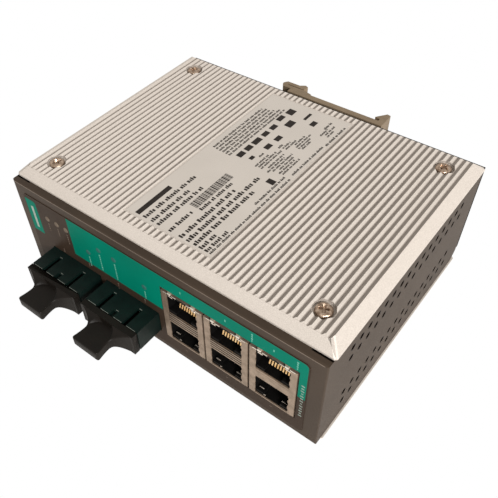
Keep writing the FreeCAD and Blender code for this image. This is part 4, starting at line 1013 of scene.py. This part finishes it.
class SWITCH_OT_stage(bpy.types.Operator):
    """White floor, soft studio light and the camera"""

    bl_idname = "switch.stage"
    bl_label = "Stage"

    # camera: place in metres, turn in degrees, lens in millimetres and shift in sensor widths
    place = (0.10352, -0.13896, 0.19043)
    turn = (42.543, 2.262, 38.742)
    lens = 44.32
    shift = (0.0724, 0.0282)
    # key light: degrees from +X towards -Y, degrees up, metres away, metres wide
    azimuth = 33
    height = 29
    distance = 1.6
    size = 0.45
    # it is aimed at the middle of the case, metres above the floor
    aim = 0.03

    def execute(self, context):
        settings = context.scene.switch_settings
        context.scene.view_settings.view_transform = "Standard"
        self.room(context, settings)
        self.floor(context)
        self.key(context, settings)
        data = bpy.data.cameras.new("camera")
        data.sensor_width = 36.0
        data.lens = self.lens
        data.shift_x, data.shift_y = self.shift
        data.clip_start = 0.01
        camera = bpy.data.objects.new("camera", data)
        context.collection.objects.link(camera)
        camera.location = self.place
        camera.rotation_euler = [math.radians(angle) for angle in self.turn]
        context.scene.camera = camera
        return {"FINISHED"}

    def room(self, context, settings):
        """Soft light from all round, and plain white where the camera looks past the object."""
        world = bpy.data.worlds.new("soft_room")
        context.scene.world = world
        world.use_nodes = True
        tree = world.node_tree
        tree.nodes.clear()
        soft = add(tree, "ShaderNodeBackground", {"Color": tuple(settings.fill_colour),
                                                  "Strength": settings.fill_level})
        seen = add(tree, "ShaderNodeBackground", {"Color": WHITE})
        path = add(tree, "ShaderNodeLightPath")
        mix = add(tree, "ShaderNodeMixShader", {0: path["Is Camera Ray"], 1: soft[0], 2: seen[0]})
        add(tree, "ShaderNodeOutputWorld", {"Surface": mix[0]})

    def floor(self, context):
        """A sheet of white paper that takes the shadow and looks plain white to the camera."""
        mesh = bmesh.new()
        bmesh.ops.create_grid(mesh, x_segments=1, y_segments=1, size=3.0)
        data = bpy.data.meshes.new("floor")
        mesh.to_mesh(data)
        mesh.free()
        floor = bpy.data.objects.new("floor", data)
        context.collection.objects.link(floor)
        material = bpy.data.materials.new("white_backdrop_paper")
        material.use_nodes = True
        tree = material.node_tree
        tree.nodes.clear()
        paper = add(tree, "ShaderNodeBsdfPrincipled", {"Base Color": (0.8, 0.79, 0.77, 1.0),
                                                       "Roughness": 0.8})
        glow = add(tree, "ShaderNodeEmission", {"Color": WHITE})
        path = add(tree, "ShaderNodeLightPath")
        mix = add(tree, "ShaderNodeMixShader", {0: path["Is Camera Ray"], 1: paper[0], 2: glow[0]})
        add(tree, "ShaderNodeOutputMaterial", {"Surface": mix[0]})
        data.materials.append(material)

    def key(self, context, settings):
        """A round lamp at the right, low enough to rake the ribs."""
        turn = math.radians(self.azimuth)
        rise = math.radians(self.height)
        place = Vector((math.cos(turn) * math.cos(rise), -math.sin(turn) * math.cos(rise),
                        math.sin(rise))) * self.distance
        data = bpy.data.lights.new("key", "AREA")
        data.energy = settings.key_power
        data.color = settings.key_colour
        data.shape = "DISK"
        data.size = self.size
        made = bpy.data.objects.new("key", data)
        context.collection.objects.link(made)
        made.location = place
        made.rotation_euler = (place - Vector((0, 0, self.aim))).to_track_quat("Z", "Y").to_euler()


STEPS = (SWITCH_OT_surfaces, SWITCH_OT_front_print, SWITCH_OT_label_print, SWITCH_OT_jack_fronts,
         SWITCH_OT_plug_grips, SWITCH_OT_edge_light_shade_and_mitre, SWITCH_OT_screw_heads, SWITCH_OT_stage)


class SWITCH_PT_panel(bpy.types.Panel):
    """Sidebar panel with the settings and the steps in order"""

    bl_idname = "SWITCH_PT_panel"
    bl_label = "DIN rail switch"
    bl_space_type = "VIEW_3D"
    bl_region_type = "UI"
    bl_category = "Switch"

    def draw(self, context):
        for name in SwitchSettings.__annotations__:
            self.layout.prop(context.scene.switch_settings, name)
        for step in STEPS:
            self.layout.operator(step.bl_idname)


CLASSES = (SwitchSettings,) + STEPS + (SWITCH_PT_panel,)


def register():
    for item in CLASSES:
        bpy.utils.register_class(item)
    bpy.types.Scene.switch_settings = bpy.props.PointerProperty(type=SwitchSettings)


def unregister():
    del bpy.types.Scene.switch_settings
    for item in reversed(CLASSES):
        bpy.utils.unregister_class(item)


def main():
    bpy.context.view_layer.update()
    register()
    for step in STEPS:
        group, name = step.bl_idname.split(".")
        getattr(getattr(bpy.ops, group), name)()


if __name__ == "__main__":
    main()
